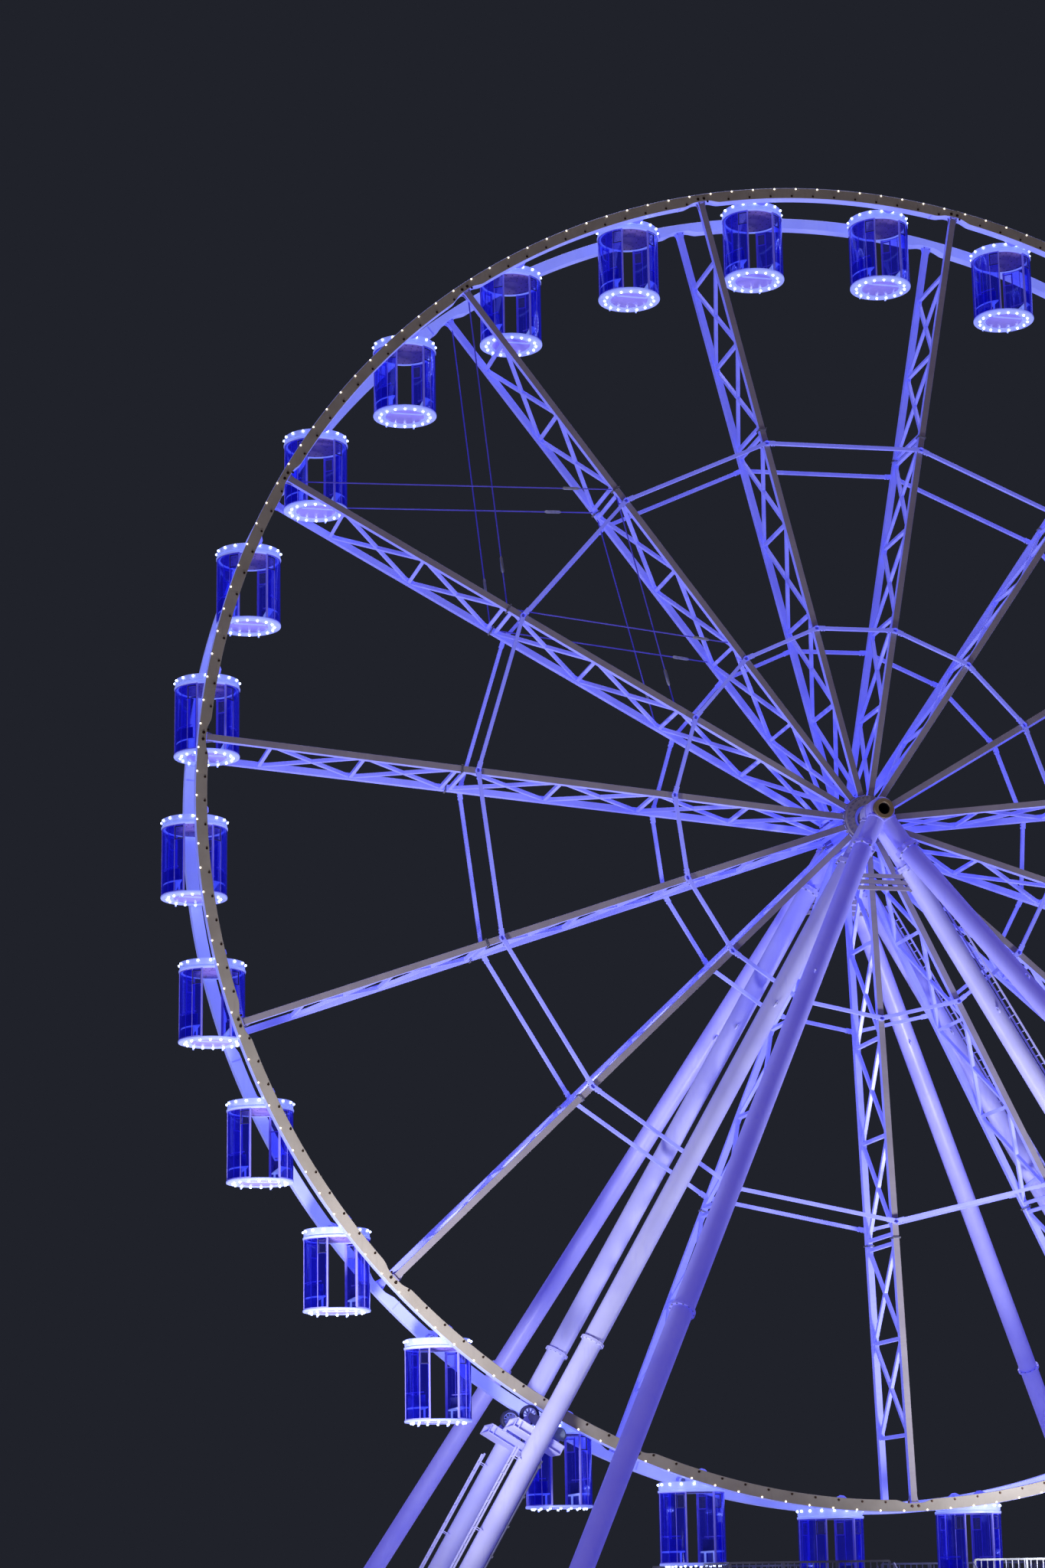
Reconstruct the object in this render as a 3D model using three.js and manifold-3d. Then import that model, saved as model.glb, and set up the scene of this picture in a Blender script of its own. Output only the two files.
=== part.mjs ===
// Observation wheel with hanging glass cabins, a model at half the real size.
// Millimetres, +Z up, origin on the ground under the middle of the axle. The wheel turns in the XZ plane,
// its axle lies along Y, and the front of the wheel faces -Y.
import * as THREE from 'three';
import { mergeVertices } from 'three/addons/utils/BufferGeometryUtils.js';
import Module from 'manifold-3d';

const wasm = await Module();
wasm.setup();

// Driving dimensions. The real wheel is twice as large.
const LIGHT_RADIUS = 11000; // circle of the lights on the front rim
const HUB_HEIGHT = 13150; // axle above the ground
const BAYS = 15; // spokes, each with a cabin on either side
const SPOKE_PHASE = 79.4; // degrees from +X towards +Z
const JOINT_GAP = 0.3; // between pieces that are bolted or rest on each other
const LAP = 1; // overlap of pieces that are joined into one
const BEYOND = 20000; // further than any piece reaches

// Rims
const RIM_OUTER = LIGHT_RADIUS + 20;
const RIM_DEPTH = 185; // along the radius
const RIM_INNER = RIM_OUTER - RIM_DEPTH;
const RIM_STEP = 35; // how far the rim narrows at a spoke
const RIM_NEAR = 550; // inner face of a rim, from the middle of the wheel
const RIM_FAR = 730; // outer face of a rim
const RIM_ARCS = 5; // straight pieces in one bay of a rim
const STEP_ANGLE = 1.1; // degrees on either side of a spoke

// Spokes
const CHORD = 100; // side of a chord's square tube
const CHORD_OFFSET_HUB = 578; // middle of a chord from the middle of the wheel, at the hub
const CHORD_OFFSET_RIM = 650; // and at the rim
const LACE = 50; // side of a lacing bar
const SPOKE_ROOT = 400; // inner end of the chords
const JOINT_RUNGS = [0.6105 * LIGHT_RADIUS, 0.624 * LIGHT_RADIUS]; // either side of a spoke's bolted joint
const FIRST_RUNG = 0.895 * LIGHT_RADIUS; // leaves room for the cabins to swing past
const INNER_PANELS = 4; // crossed panels from the hub to the bolted joint
const OUTER_PANELS = 2; // and from there to the first rung
const OUTER_HOOP_RADIUS = 0.594 * LIGHT_RADIUS;
const INNER_HOOP_RADIUS = 0.2985 * LIGHT_RADIUS;
const HOOP_BAR = 60;
const HOOP_STRUT = 48;
const HOOP_STRUT_EVERY = 3; // spokes from one strut to the next
const STRUT_GAP = 12; // between a hoop's strut and the spoke beside it

// Hub and axle
const AXLE_RADIUS = 168;
const AXLE_BORE = 95;
const AXLE_HALF = 1440;
const AXLE_SIDES = 20;
const HUB_FLANGE_RADIUS = (SPOKE_ROOT - JOINT_GAP) / Math.cos(Math.PI / BAYS); // at the corners
const HUB_FLANGE_THICKNESS = 110;
const HUB_DRUM_RADIUS = 260;

// Cabins
const PIVOT_RADIUS = (RIM_OUTER + RIM_INNER) / 2;
const CABIN_RADIUS = 514;
const CABIN_RING_RADIUS = 525;
const CABIN_TOP = -50; // roof's top, below the pivot
const CABIN_ROOF_DEPTH = 155;
const CABIN_BOTTOM = -1305;
const CABIN_FLOOR_DEPTH = 40;
const GLASS = 12;
const DOOR_ANGLE = 26; // half of the doorway, degrees
const SIDE_ARCS = 4; // straight pieces in a side panel
const PIVOT_PIN = 36; // radius
const PIN_SIDES = 6;
const HANGER = { halfWidth: 65, near: 430, far: 505, top: 50 }; // block on the roof that holds a pin
const SEAT_HEIGHT = 190; // above the floor
const SEAT_EDGE = 245; // from the middle of the cabin, past the doorway's edge

// Legs
const LEG_RADIUS = 158;
const LEG_HEAD_RADIUS = 145; // above the knee
const LEG_SIDES = 12;
const LEG_FLANGE_RADIUS = 205;
const LEG_FLANGE_THICKNESS = 40; // of each of the two plates
const CROSS_BEAM = 60;
const CROSS_BEAM_HEIGHT = -1122; // middle beam under the axle
const CROSS_BEAM_PITCH = 100;
const INNER_HEAD_Y = 950;
const OUTER_HEAD_Y = 1240;
const COLLAR_RADIUS = 250;
const COLLAR_LENGTH = 220;
const INNER_LEG = { knee: [505, 1006, -866], foot: [7671, 1166] };
const OUTER_LEG = { knee: [380, 1396, -660], foot: [7528, 8019] };

// Base and boarding platform
const BASE_BEAM = 300;
const FOOT_PLATE = 640;
const FOOT_PLATE_THICKNESS = 40;
const CABIN_TO_DECK = 70;
const DECK_TOP = HUB_HEIGHT - PIVOT_RADIUS + CABIN_BOTTOM - CABIN_TO_DECK;
const DECK_THICKNESS = 60;
const DECK_LENGTH = 6400;
const DECK_WIDTH = 4200;
const RAIL_HEIGHT = 550;
const RAIL = 30;
const LONG_RAIL_POSTS = 4; // in a rail beside a stair
const END_RAIL_POSTS = 3; // in a rail at an end of the deck
const STEPS = 9;
const STAIR_WIDTH = 1300;
const STAIR_LAP = 40; // how far a stair reaches under the deck
const STRINGER_RISES = 2.5; // depth of a stair under the deck's top, in risers
const TREAD = 140;
const POST = 100;
const POST_AT_END = 0.94; // places of the posts as shares of half the deck's length
const POST_AT_STAIR = 0.34;
const LANE_HALF = 750; // half of the way between the rails where the cabins pass

// Drive
const TYRE_RADIUS = 150;
const TYRE_WIDTH = 100;
const TYRE_SIDES = 16;
const TYRE_ANGLE = 238.5; // degrees from +X towards +Z
const TYRE_CLEARANCE = 1.2; // from the corners of the rim's outer face
const RIM_MIDDLE_Y = (RIM_NEAR + RIM_FAR) / 2;
const FORK = 18; // thickness of a fork plate
const FORK_GAP = 12; // between the tyre and the fork
const FORK_HALF = 45; // half the width of a fork plate
const TYRE_SHAFT = 30;
const TYRE_SHOULDER = [15, 20]; // height and width of the bevel beside the tread
const DRIVE_DECK = 200; // from the tyre's shaft out to the cradle's deck
const DRIVE_DECK_THICKNESS = 60;
const DRIVE_DECK_ENDS = [-220, 620]; // along the rim, from the tyre's shaft
const DRIVE_DECK_REACH = 1126; // from the middle of the wheel, inside the leg
const MOTOR_RADIUS = 105;
const MOTOR_ENDS = [600, 980]; // from the middle of the wheel
const MOTOR_ALONG = 480; // from the tyre's shaft along the rim
const MOTOR_OUT = 60; // and away from the wheel
const MOTOR_FOOT_HALF = 70;
const MOTOR_FOOT_ENDS = [640, 900];

const WHITE_STEEL = { color: 0xe8e8ee, roughness: 0.45, metalness: 0.1 };
const CREAM_STEEL = { color: 0xd9cfba, roughness: 0.5, metalness: 0.1 };
const GREY_STEEL = { color: 0x9a9a9c, roughness: 0.5, metalness: 0.6 };
const CABIN_WHITE = { color: 0x9fb0e8, roughness: 0.3, metalness: 0.0 };
const RUBBER = { color: 0x1c1c1e, roughness: 0.85, metalness: 0.0 };

const radians = THREE.MathUtils.degToRad;

/** A closed three.js geometry as a solid that can be joined and cut. */
function solid(geometry) {
  const bare = geometry.clone();
  bare.deleteAttribute('normal');
  bare.deleteAttribute('uv');
  const merged = mergeVertices(bare, 1e-3);
  return new wasm.Manifold(new wasm.Mesh({
    numProp: 3,
    vertProperties: new Float32Array(merged.attributes.position.array),
    triVerts: new Uint32Array(merged.index.array),
  }));
}

/** The solid as a geometry again. */
function geometryOf(body) {
  const mesh = body.getMesh();
  const geometry = new THREE.BufferGeometry();
  geometry.setAttribute('position', new THREE.Float32BufferAttribute(mesh.vertProperties, 3));
  geometry.setIndex(new THREE.Uint32BufferAttribute(mesh.triVerts, 1));
  geometry.computeVertexNormals();
  return geometry;
}

/** Several closed geometries joined into one solid. */
function joined(geometries) {
  return geometries.map(solid).reduce((whole, piece) => whole.add(piece));
}

/** A point of the wheel's plane: radius, angle in degrees, and place along the axle. */
function wheelPoint(radius, degrees, y) {
  return new THREE.Vector3(
    radius * Math.cos(radians(degrees)), y, radius * Math.sin(radians(degrees)));
}

/** Turns and moves a geometry whose length runs along +Z so that it runs from one point to another. */
function laid(geometry, from, to) {
  const direction = to.clone().sub(from).normalize();
  const side = Math.abs(direction.y) > 0.99 ? new THREE.Vector3(1, 0, 0) : new THREE.Vector3(0, 1, 0);
  const across = new THREE.Vector3().crossVectors(side, direction).normalize();
  const along = new THREE.Vector3().crossVectors(direction, across);
  const middle = from.clone().add(to).multiplyScalar(0.5);
  const place = new THREE.Matrix4().makeBasis(across, along, direction).setPosition(middle);
  return geometry.applyMatrix4(place);
}

/** A straight bar of rectangular section; width lies in the wheel's plane, height along the axle. */
function bar(from, to, width, height = width) {
  return laid(new THREE.BoxGeometry(width, height, from.distanceTo(to)), from, to);
}

/** A straight round tube, solid, with a few flat sides. */
function rod(from, to, radius, sides = LEG_SIDES) {
  const geometry = new THREE.CylinderGeometry(radius, radius, from.distanceTo(to), sides);
  return laid(geometry.rotateX(Math.PI / 2), from, to);
}

/** A box between two corners. */
function block(x0, x1, y0, y1, z0, z1) {
  const geometry = new THREE.BoxGeometry(x1 - x0, y1 - y0, z1 - z0);
  return geometry.translate((x0 + x1) / 2, (y0 + y1) / 2, (z0 + z1) / 2);
}

/** A named mesh with its own material. */
function part(name, geometry, finish) {
  const mesh = new THREE.Mesh(geometry, new THREE.MeshStandardMaterial(finish));
  mesh.name = name;
  return mesh;
}

/** Distance of a chord's middle from the middle of the wheel. */
function chordOffset(radius) {
  const share = (radius - SPOKE_ROOT) / (RIM_INNER - SPOKE_ROOT);
  return CHORD_OFFSET_HUB + share * (CHORD_OFFSET_RIM - CHORD_OFFSET_HUB);
}

/** One rim: a ring of straight box pieces that narrows where each spoke meets it. */
function rimGeometry(side) {
  const outline = [];
  const hole = [];
  for (let bay = 0; bay < BAYS; bay += 1) {
    const spoke = SPOKE_PHASE + (bay * 360) / BAYS;
    for (let i = 0; i < RIM_ARCS; i += 1) {
      const angle = radians(spoke + (i * 360) / BAYS / RIM_ARCS);
      outline.push(new THREE.Vector2(RIM_OUTER * Math.cos(angle), RIM_OUTER * Math.sin(angle)));
      if (i > 0) {
        hole.push(new THREE.Vector2(RIM_INNER * Math.cos(angle), RIM_INNER * Math.sin(angle)));
      } else {
        for (const [turn, radius] of [[-2, 0], [-1, RIM_STEP], [1, RIM_STEP], [2, 0]]) {
          const at = angle + radians(turn * STEP_ANGLE);
          hole.push(new THREE.Vector2(
            (RIM_INNER + radius) * Math.cos(at), (RIM_INNER + radius) * Math.sin(at)));
        }
      }
    }
  }
  const shape = new THREE.Shape(outline);
  shape.holes.push(new THREE.Path(hole));
  const geometry = new THREE.ExtrudeGeometry(shape, { depth: RIM_FAR - RIM_NEAR, bevelEnabled: false });
  // The section is drawn in XY and extruded along Z; standing it up sends Z to -Y.
  geometry.rotateX(Math.PI / 2);
  return geometry.translate(0, side > 0 ? RIM_FAR : -RIM_NEAR, 0);
}

/** The triangle left when each side of a triangle is moved inwards by its own distance. */
function insetTriangle(corners, distances) {
  const lines = corners.map((from, i) => {
    const along = corners[(i + 1) % 3].clone().sub(from).normalize();
    const inwards = new THREE.Vector2(-along.y, along.x);
    return { from: from.clone().addScaledVector(inwards, distances[i]), along };
  });
  return lines.map((line, i) => {
    const other = lines[(i + 1) % 3];
    const gap = other.from.clone().sub(line.from);
    const run = gap.cross(other.along) / line.along.cross(other.along);
    return line.from.clone().addScaledVector(line.along, run);
  });
}

/** A flat shape drawn in XY, made as thick as asked around Z = 0. */
function slab(shape, thickness) {
  const geometry = new THREE.ExtrudeGeometry(shape, { depth: thickness, bevelEnabled: false });
  return geometry.translate(0, 0, -thickness / 2);
}

/** Radii of the rungs that bound a run of crossed panels of equal length. */
function rungRadii(from, to, panels) {
  return Array.from({ length: panels + 1 }, (_, i) => THREE.MathUtils.lerp(from, to, i / panels));
}

/** One spoke along +X: two chords with rungs and crossed lacing, cut out of one lattice. */
function spokeGeometry() {
  const end = (RIM_INNER + RIM_STEP) * Math.cos(radians(STEP_ANGLE)) - JOINT_GAP;
  const at = (radius, side, out = 0) => new THREE.Vector2(radius, side * (chordOffset(radius) + out));
  const edge = CHORD / 2;
  const last = FIRST_RUNG + LACE / 2;
  const cutter = (points) => solid(slab(new THREE.Shape(points), CHORD * 2));
  const shape = new THREE.Shape([
    at(SPOKE_ROOT, -1, edge), at(end, -1, edge), at(end, -1, -edge), at(last, -1, -edge),
    at(last, 1, -edge), at(end, 1, -edge), at(end, 1, edge), at(SPOKE_ROOT, 1, edge),
  ]);
  let lattice = solid(slab(shape, CHORD));
  const [jointIn, jointOut] = JOINT_RUNGS;
  const runs = [
    rungRadii(SPOKE_ROOT + LACE / 2, jointIn, INNER_PANELS),
    rungRadii(jointOut, FIRST_RUNG, OUTER_PANELS),
  ];
  for (const rungs of runs) {
    for (let i = 1; i < rungs.length; i += 1) {
      const [before, after] = [rungs[i - 1], rungs[i]];
      const corners = [at(before, -1), at(after, -1), at(after, 1), at(before, 1)];
      const near = corners[3].y;
      const crossing = corners[0].clone().lerp(corners[2], near / (near + corners[2].y));
      corners.forEach((corner, k) => {
        const triangle = [corner, corners[(k + 1) % 4], crossing];
        const frame = k % 2 ? LACE / 2 : edge;
        lattice = lattice.subtract(cutter(insetTriangle(triangle, [frame, LACE / 2, LACE / 2])));
      });
    }
  }
  const [low, high] = [jointIn + LACE / 2, jointOut - LACE / 2];
  const between = [at(low, -1, -edge), at(high, -1, -edge), at(high, 1, -edge), at(low, 1, -edge)];
  lattice = lattice.subtract(cutter(between));
  return geometryOf(lattice);
}

/** A ring of straight tie bars at one face of the spokes' chords, between two planes along the axle. */
function tieRing(radius, near, far) {
  const half = HOOP_BAR / 2 / Math.cos(radians(180 / BAYS));
  const corners = (r) => Array.from({ length: BAYS }, (_, i) => {
    const angle = radians(SPOKE_PHASE + (i * 360) / BAYS);
    return new THREE.Vector2(r * Math.cos(angle), r * Math.sin(angle));
  });
  const shape = new THREE.Shape(corners(radius + half));
  shape.holes.push(new THREE.Path(corners(radius - half)));
  const geometry = new THREE.ExtrudeGeometry(shape, { depth: far - near, bevelEnabled: false });
  return geometry.rotateX(Math.PI / 2).translate(0, far, 0);
}

/** A hoop: a tie ring on the front chords, one on the rear chords, and struts beside every third spoke. */
function hoopGeometry(radius) {
  const near = chordOffset(radius) + CHORD / 2 + JOINT_GAP;
  const far = near + HOOP_BAR;
  const middle = (near + far) / 2;
  const pieces = [tieRing(radius, near, far), tieRing(radius, -far, -near)];
  const beside = CHORD / 2 + HOOP_BAR / 2 + STRUT_GAP;
  for (let i = 0; i < BAYS; i += HOOP_STRUT_EVERY) {
    const angle = SPOKE_PHASE + (i * 360) / BAYS + THREE.MathUtils.radToDeg(beside / radius);
    pieces.push(bar(wheelPoint(radius, angle, -middle), wheelPoint(radius, angle, middle), HOOP_STRUT));
  }
  return geometryOf(joined(pieces));
}

/** The rotating hub: two flanges that carry the spokes and the drum between them. */
function hubGeometry() {
  const outer = CHORD_OFFSET_HUB + HUB_FLANGE_THICKNESS / 2;
  const inner = CHORD_OFFSET_HUB - HUB_FLANGE_THICKNESS / 2;
  const bore = (AXLE_RADIUS + JOINT_GAP * 2) / Math.cos(Math.PI / BAYS);
  const profile = [
    [bore, -outer], [HUB_FLANGE_RADIUS, -outer], [HUB_FLANGE_RADIUS, -inner], [HUB_DRUM_RADIUS, -inner],
    [HUB_DRUM_RADIUS, inner], [HUB_FLANGE_RADIUS, inner], [HUB_FLANGE_RADIUS, outer], [bore, outer],
    [bore, -outer],
  ].map(([x, y]) => new THREE.Vector2(x, y));
  // One flat side faces each spoke.
  return new THREE.LatheGeometry(profile, BAYS).rotateY(radians(90 - SPOKE_PHASE + 180 / BAYS));
}

/** The fixed hollow axle. */
function axleGeometry() {
  const profile = [
    [AXLE_BORE, -AXLE_HALF], [AXLE_RADIUS, -AXLE_HALF], [AXLE_RADIUS, AXLE_HALF], [AXLE_BORE, AXLE_HALF],
    [AXLE_BORE, -AXLE_HALF],
  ].map(([x, y]) => new THREE.Vector2(x, y));
  return new THREE.LatheGeometry(profile, AXLE_SIDES);
}

/** Outline of a cabin's walls in plan: straight door faces front and rear, arcs of straight pieces beside. */
function cabinOutline(radius) {
  const points = [];
  const span = (180 - 2 * DOOR_ANGLE) / SIDE_ARCS;
  for (const start of [-90 + DOOR_ANGLE, 90 + DOOR_ANGLE]) {
    for (let i = 0; i <= SIDE_ARCS; i += 1) {
      const angle = radians(start + i * span);
      points.push(new THREE.Vector2(radius * Math.cos(angle), radius * Math.sin(angle)));
    }
  }
  return points;
}

/** Outline of a cabin's roof or floor in plan: as the walls, with a corner in the middle of each door face. */
function discOutline(radius) {
  const points = cabinOutline(radius);
  points.splice(SIDE_ARCS + 1, 0, new THREE.Vector2(0, radius));
  points.push(new THREE.Vector2(0, -radius));
  return points;
}

/** A flat plate in XY of the given outline between two heights. */
function plate(points, bottom, top) {
  const options = { depth: top - bottom, bevelEnabled: false };
  return new THREE.ExtrudeGeometry(new THREE.Shape(points), options).translate(0, 0, bottom);
}

/** A cabin about its pivot: roof with hangers and pins, floor, two curved side panels with a bench each. */
function cabinGeometry() {
  const roofBottom = CABIN_TOP - CABIN_ROOF_DEPTH;
  const floorTop = CABIN_BOTTOM + CABIN_FLOOR_DEPTH;
  const outer = cabinOutline(CABIN_RADIUS);
  const inner = cabinOutline(CABIN_RADIUS - GLASS);
  const pieces = [
    plate(discOutline(CABIN_RING_RADIUS), roofBottom, CABIN_TOP),
    plate(discOutline(CABIN_RING_RADIUS), CABIN_BOTTOM, floorTop),
  ];
  for (const first of [0, SIDE_ARCS + 1]) {
    const side = [first, first + SIDE_ARCS + 1];
    const wall = [...outer.slice(...side), ...inner.slice(...side).reverse()];
    pieces.push(plate(wall, floorTop - LAP, roofBottom + LAP));
  }
  for (const side of [-1, 1]) {
    const [near, far] = [side * HANGER.near, side * HANGER.far].sort((a, b) => a - b);
    pieces.push(block(-HANGER.halfWidth, HANGER.halfWidth, near, far, CABIN_TOP - LAP, HANGER.top));
    pieces.push(rod(
      new THREE.Vector3(0, side * (HANGER.near + LAP), 0),
      new THREE.Vector3(0, side * (RIM_NEAR - JOINT_GAP), 0), PIVOT_PIN, PIN_SIDES));
  }
  const inWall = cabinOutline(CABIN_RADIUS - GLASS + LAP);
  const room = solid(plate(inWall, floorTop - LAP, floorTop + SEAT_HEIGHT));
  const aisle = solid(block(-SEAT_EDGE, SEAT_EDGE, -CABIN_RADIUS, CABIN_RADIUS, CABIN_BOTTOM, roofBottom));
  return geometryOf(joined(pieces).add(room.subtract(aisle)));
}

/** The two legs of one frame, with the collar on the axle that they hang from. */
function legPieces(leg, headY, side) {
  const pieces = [];
  const [kneeX, kneeY, kneeZ] = leg.knee;
  const [footX, footY] = leg.foot;
  const footZ = -HUB_HEIGHT + FOOT_PLATE_THICKNESS + JOINT_GAP;
  for (const hand of [-1, 1]) {
    const head = new THREE.Vector3(0, side * headY, 0);
    const knee = new THREE.Vector3(hand * kneeX, side * kneeY, kneeZ);
    const foot = new THREE.Vector3(hand * footX, side * footY, footZ);
    const down = foot.clone().sub(knee).normalize();
    const above = knee.clone().addScaledVector(down, -LEG_FLANGE_THICKNESS);
    const below = knee.clone().addScaledVector(down, LEG_FLANGE_THICKNESS);
    pieces.push(rod(head, below, LEG_HEAD_RADIUS));
    pieces.push(rod(knee, foot, LEG_RADIUS));
    pieces.push(rod(above, below, LEG_FLANGE_RADIUS));
  }
  const collar = new THREE.CylinderGeometry(COLLAR_RADIUS, COLLAR_RADIUS, COLLAR_LENGTH, AXLE_SIDES);
  pieces.push(collar.translate(0, side * headY, 0));
  return pieces;
}

/** A leg frame with the axle's hole through its collar. */
function legFrameGeometry(pieces) {
  const radius = AXLE_RADIUS + JOINT_GAP;
  const bore = new THREE.CylinderGeometry(radius, radius, 2 * AXLE_HALF, AXLE_SIDES);
  const floor = -HUB_HEIGHT + FOOT_PLATE_THICKNESS + JOINT_GAP;
  const below = block(-BEYOND, BEYOND, -BEYOND, BEYOND, -BEYOND, floor);
  return geometryOf(joined(pieces).subtract(solid(bore)).subtract(solid(below)));
}

/** The beams that tie the two inner legs together under the axle. */
function crossBeams(side) {
  const [kneeX, kneeY, kneeZ] = INNER_LEG.knee;
  const slope = (INNER_LEG.foot[0] - kneeX) / (HUB_HEIGHT + kneeZ);
  return [-1, 0, 1].map((step) => {
    const z = CROSS_BEAM_HEIGHT + step * CROSS_BEAM_PITCH;
    const x = kneeX + (kneeZ - z) * slope;
    const from = new THREE.Vector3(-x, side * kneeY, z);
    return bar(from, new THREE.Vector3(x, side * kneeY, z), CROSS_BEAM);
  });
}

/** The middle of a drive tyre. */
function tyreCentre(side) {
  return wheelPoint(RIM_OUTER + TYRE_CLEARANCE + TYRE_RADIUS, TYRE_ANGLE, side * RIM_MIDDLE_Y);
}

/** A block in the tyre's own frame: outwards from the wheel, along the rim, and along the axle. */
function driveBlock(side, out, along, axial) {
  const ends = axial.map((y) => side * y).sort((a, b) => a - b);
  const geometry = block(...out, ...ends, ...along);
  const centre = tyreCentre(side);
  return geometry.rotateY(-radians(TYRE_ANGLE)).translate(centre.x, 0, centre.z);
}

/** The drive's cradle on the left inner leg: deck, fork for the tyre, and the motor beside it. */
function drivePieces(side) {
  const forkNear = RIM_MIDDLE_Y - TYRE_WIDTH / 2 - FORK_GAP;
  const forkFar = RIM_MIDDLE_Y + TYRE_WIDTH / 2 + FORK_GAP;
  const inDeck = DRIVE_DECK + LAP;
  const forkOut = [-FORK_HALF, inDeck];
  const forkAlong = [-FORK_HALF, FORK_HALF];
  const motorFoot = [MOTOR_ALONG - MOTOR_FOOT_HALF, MOTOR_ALONG + MOTOR_FOOT_HALF];
  const deck = [DRIVE_DECK, DRIVE_DECK + DRIVE_DECK_THICKNESS];
  const pieces = [
    driveBlock(side, deck, DRIVE_DECK_ENDS, [forkNear - FORK, DRIVE_DECK_REACH]),
    driveBlock(side, forkOut, forkAlong, [forkNear - FORK, forkNear]),
    driveBlock(side, forkOut, forkAlong, [forkFar, forkFar + FORK]),
    driveBlock(side, [MOTOR_RADIUS, inDeck], motorFoot, MOTOR_FOOT_ENDS),
  ];
  const [near, far] = MOTOR_ENDS;
  const motor = new THREE.CylinderGeometry(MOTOR_RADIUS, MOTOR_RADIUS, far - near, LEG_SIDES);
  const centre = tyreCentre(side);
  motor.translate(MOTOR_OUT, (side * (near + far)) / 2, MOTOR_ALONG);
  pieces.push(motor.rotateY(-radians(TYRE_ANGLE)).translate(centre.x, 0, centre.z));
  return pieces;
}

/** A drive tyre with its rim and the stub shafts that sit in the fork. */
function tyreGeometry() {
  const half = TYRE_WIDTH / 2;
  const shaft = half + FORK_GAP - JOINT_GAP;
  const [drop, bevel] = TYRE_SHOULDER;
  const profile = [
    [0, -shaft], [TYRE_SHAFT, -shaft], [TYRE_SHAFT, -half], [TYRE_RADIUS - drop, -half],
    [TYRE_RADIUS, -half + bevel], [TYRE_RADIUS, half - bevel], [TYRE_RADIUS - drop, half],
    [TYRE_SHAFT, half], [TYRE_SHAFT, shaft], [0, shaft],
  ].map(([x, y]) => new THREE.Vector2(x, y));
  return new THREE.LatheGeometry(profile, TYRE_SIDES);
}

/** The frame on the ground that ties the feet, cut where the legs come down into it. */
function baseGeometry(legs) {
  const [innerX, innerY] = INNER_LEG.foot;
  const [outerX, outerY] = OUTER_LEG.foot;
  const half = BASE_BEAM / 2;
  const sideX = (innerX + outerX) / 2;
  const pieces = [];
  for (const side of [-1, 1]) {
    pieces.push(block(-innerX, innerX, side * innerY - half, side * innerY + half, 0, BASE_BEAM));
    pieces.push(block(side * sideX - half, side * sideX + half, -outerY, outerY, 0, BASE_BEAM));
    for (const hand of [-1, 1]) {
      for (const [x, y] of [[innerX, innerY], [outerX, outerY]]) {
        const plateHalf = FOOT_PLATE / 2;
        pieces.push(block(
          hand * x - plateHalf, hand * x + plateHalf, side * y - plateHalf, side * y + plateHalf,
          0, FOOT_PLATE_THICKNESS));
      }
    }
  }
  return geometryOf(legs.reduce((base, leg) => base.subtract(leg), joined(pieces)));
}

/** The legs' lower ends a little thicker than they are, to cut their seats out of the base. */
function legSeats() {
  const seats = [];
  for (const leg of [INNER_LEG, OUTER_LEG]) {
    for (const side of [-1, 1]) {
      for (const hand of [-1, 1]) {
        const knee = new THREE.Vector3(hand * leg.knee[0], side * leg.knee[1], leg.knee[2] + HUB_HEIGHT);
        const foot = new THREE.Vector3(hand * leg.foot[0], side * leg.foot[1], FOOT_PLATE_THICKNESS);
        const reach = foot.clone().sub(knee).normalize().multiplyScalar(LEG_RADIUS);
        const tube = solid(rod(knee, foot.clone().add(reach), LEG_RADIUS + JOINT_GAP * 2));
        const above = block(-BEYOND, BEYOND, -BEYOND, BEYOND, FOOT_PLATE_THICKNESS, BEYOND);
        seats.push(tube.intersect(solid(above)));
      }
    }
  }
  return seats;
}

/** A stair from the deck's edge down to the ground, drawn in the YZ plane. */
function stairGeometry(side) {
  const rise = DECK_TOP / (STEPS + 1);
  const top = DECK_TOP - DECK_THICKNESS / 2;
  const outline = [new THREE.Vector2(-STAIR_LAP, top), new THREE.Vector2(0, top)];
  for (let i = 1; i <= STEPS; i += 1) {
    outline.push(new THREE.Vector2((i - 1) * TREAD, DECK_TOP - i * rise));
    outline.push(new THREE.Vector2(i * TREAD, DECK_TOP - i * rise));
  }
  outline.push(new THREE.Vector2(STEPS * TREAD, 0), new THREE.Vector2((STEPS - 1) * TREAD, 0));
  outline.push(new THREE.Vector2(-STAIR_LAP, DECK_TOP - STRINGER_RISES * rise));
  const options = { depth: STAIR_WIDTH, bevelEnabled: false };
  const geometry = new THREE.ExtrudeGeometry(new THREE.Shape(outline), options);
  // Drawn in XY with the run along +X; stood up so that the run goes to -Y and the width along X.
  geometry.rotateX(Math.PI / 2).translate(0, STAIR_WIDTH / 2, 0);
  geometry.rotateZ(side < 0 ? -Math.PI / 2 : Math.PI / 2);
  return geometry.translate(0, side * (DECK_WIDTH / 2 - LAP), 0);
}

/** Guard rail between two points of the deck, with posts. */
function railPieces(from, to, posts) {
  const pieces = [];
  const top = new THREE.Vector3(0, 0, RAIL_HEIGHT - RAIL / 2);
  pieces.push(bar(from.clone().add(top), to.clone().add(top), RAIL));
  for (let i = 0; i < posts; i += 1) {
    const foot = from.clone().lerp(to, i / (posts - 1));
    pieces.push(bar(foot.clone().setZ(foot.z - LAP), foot.clone().add(top), RAIL));
  }
  return pieces;
}

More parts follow.
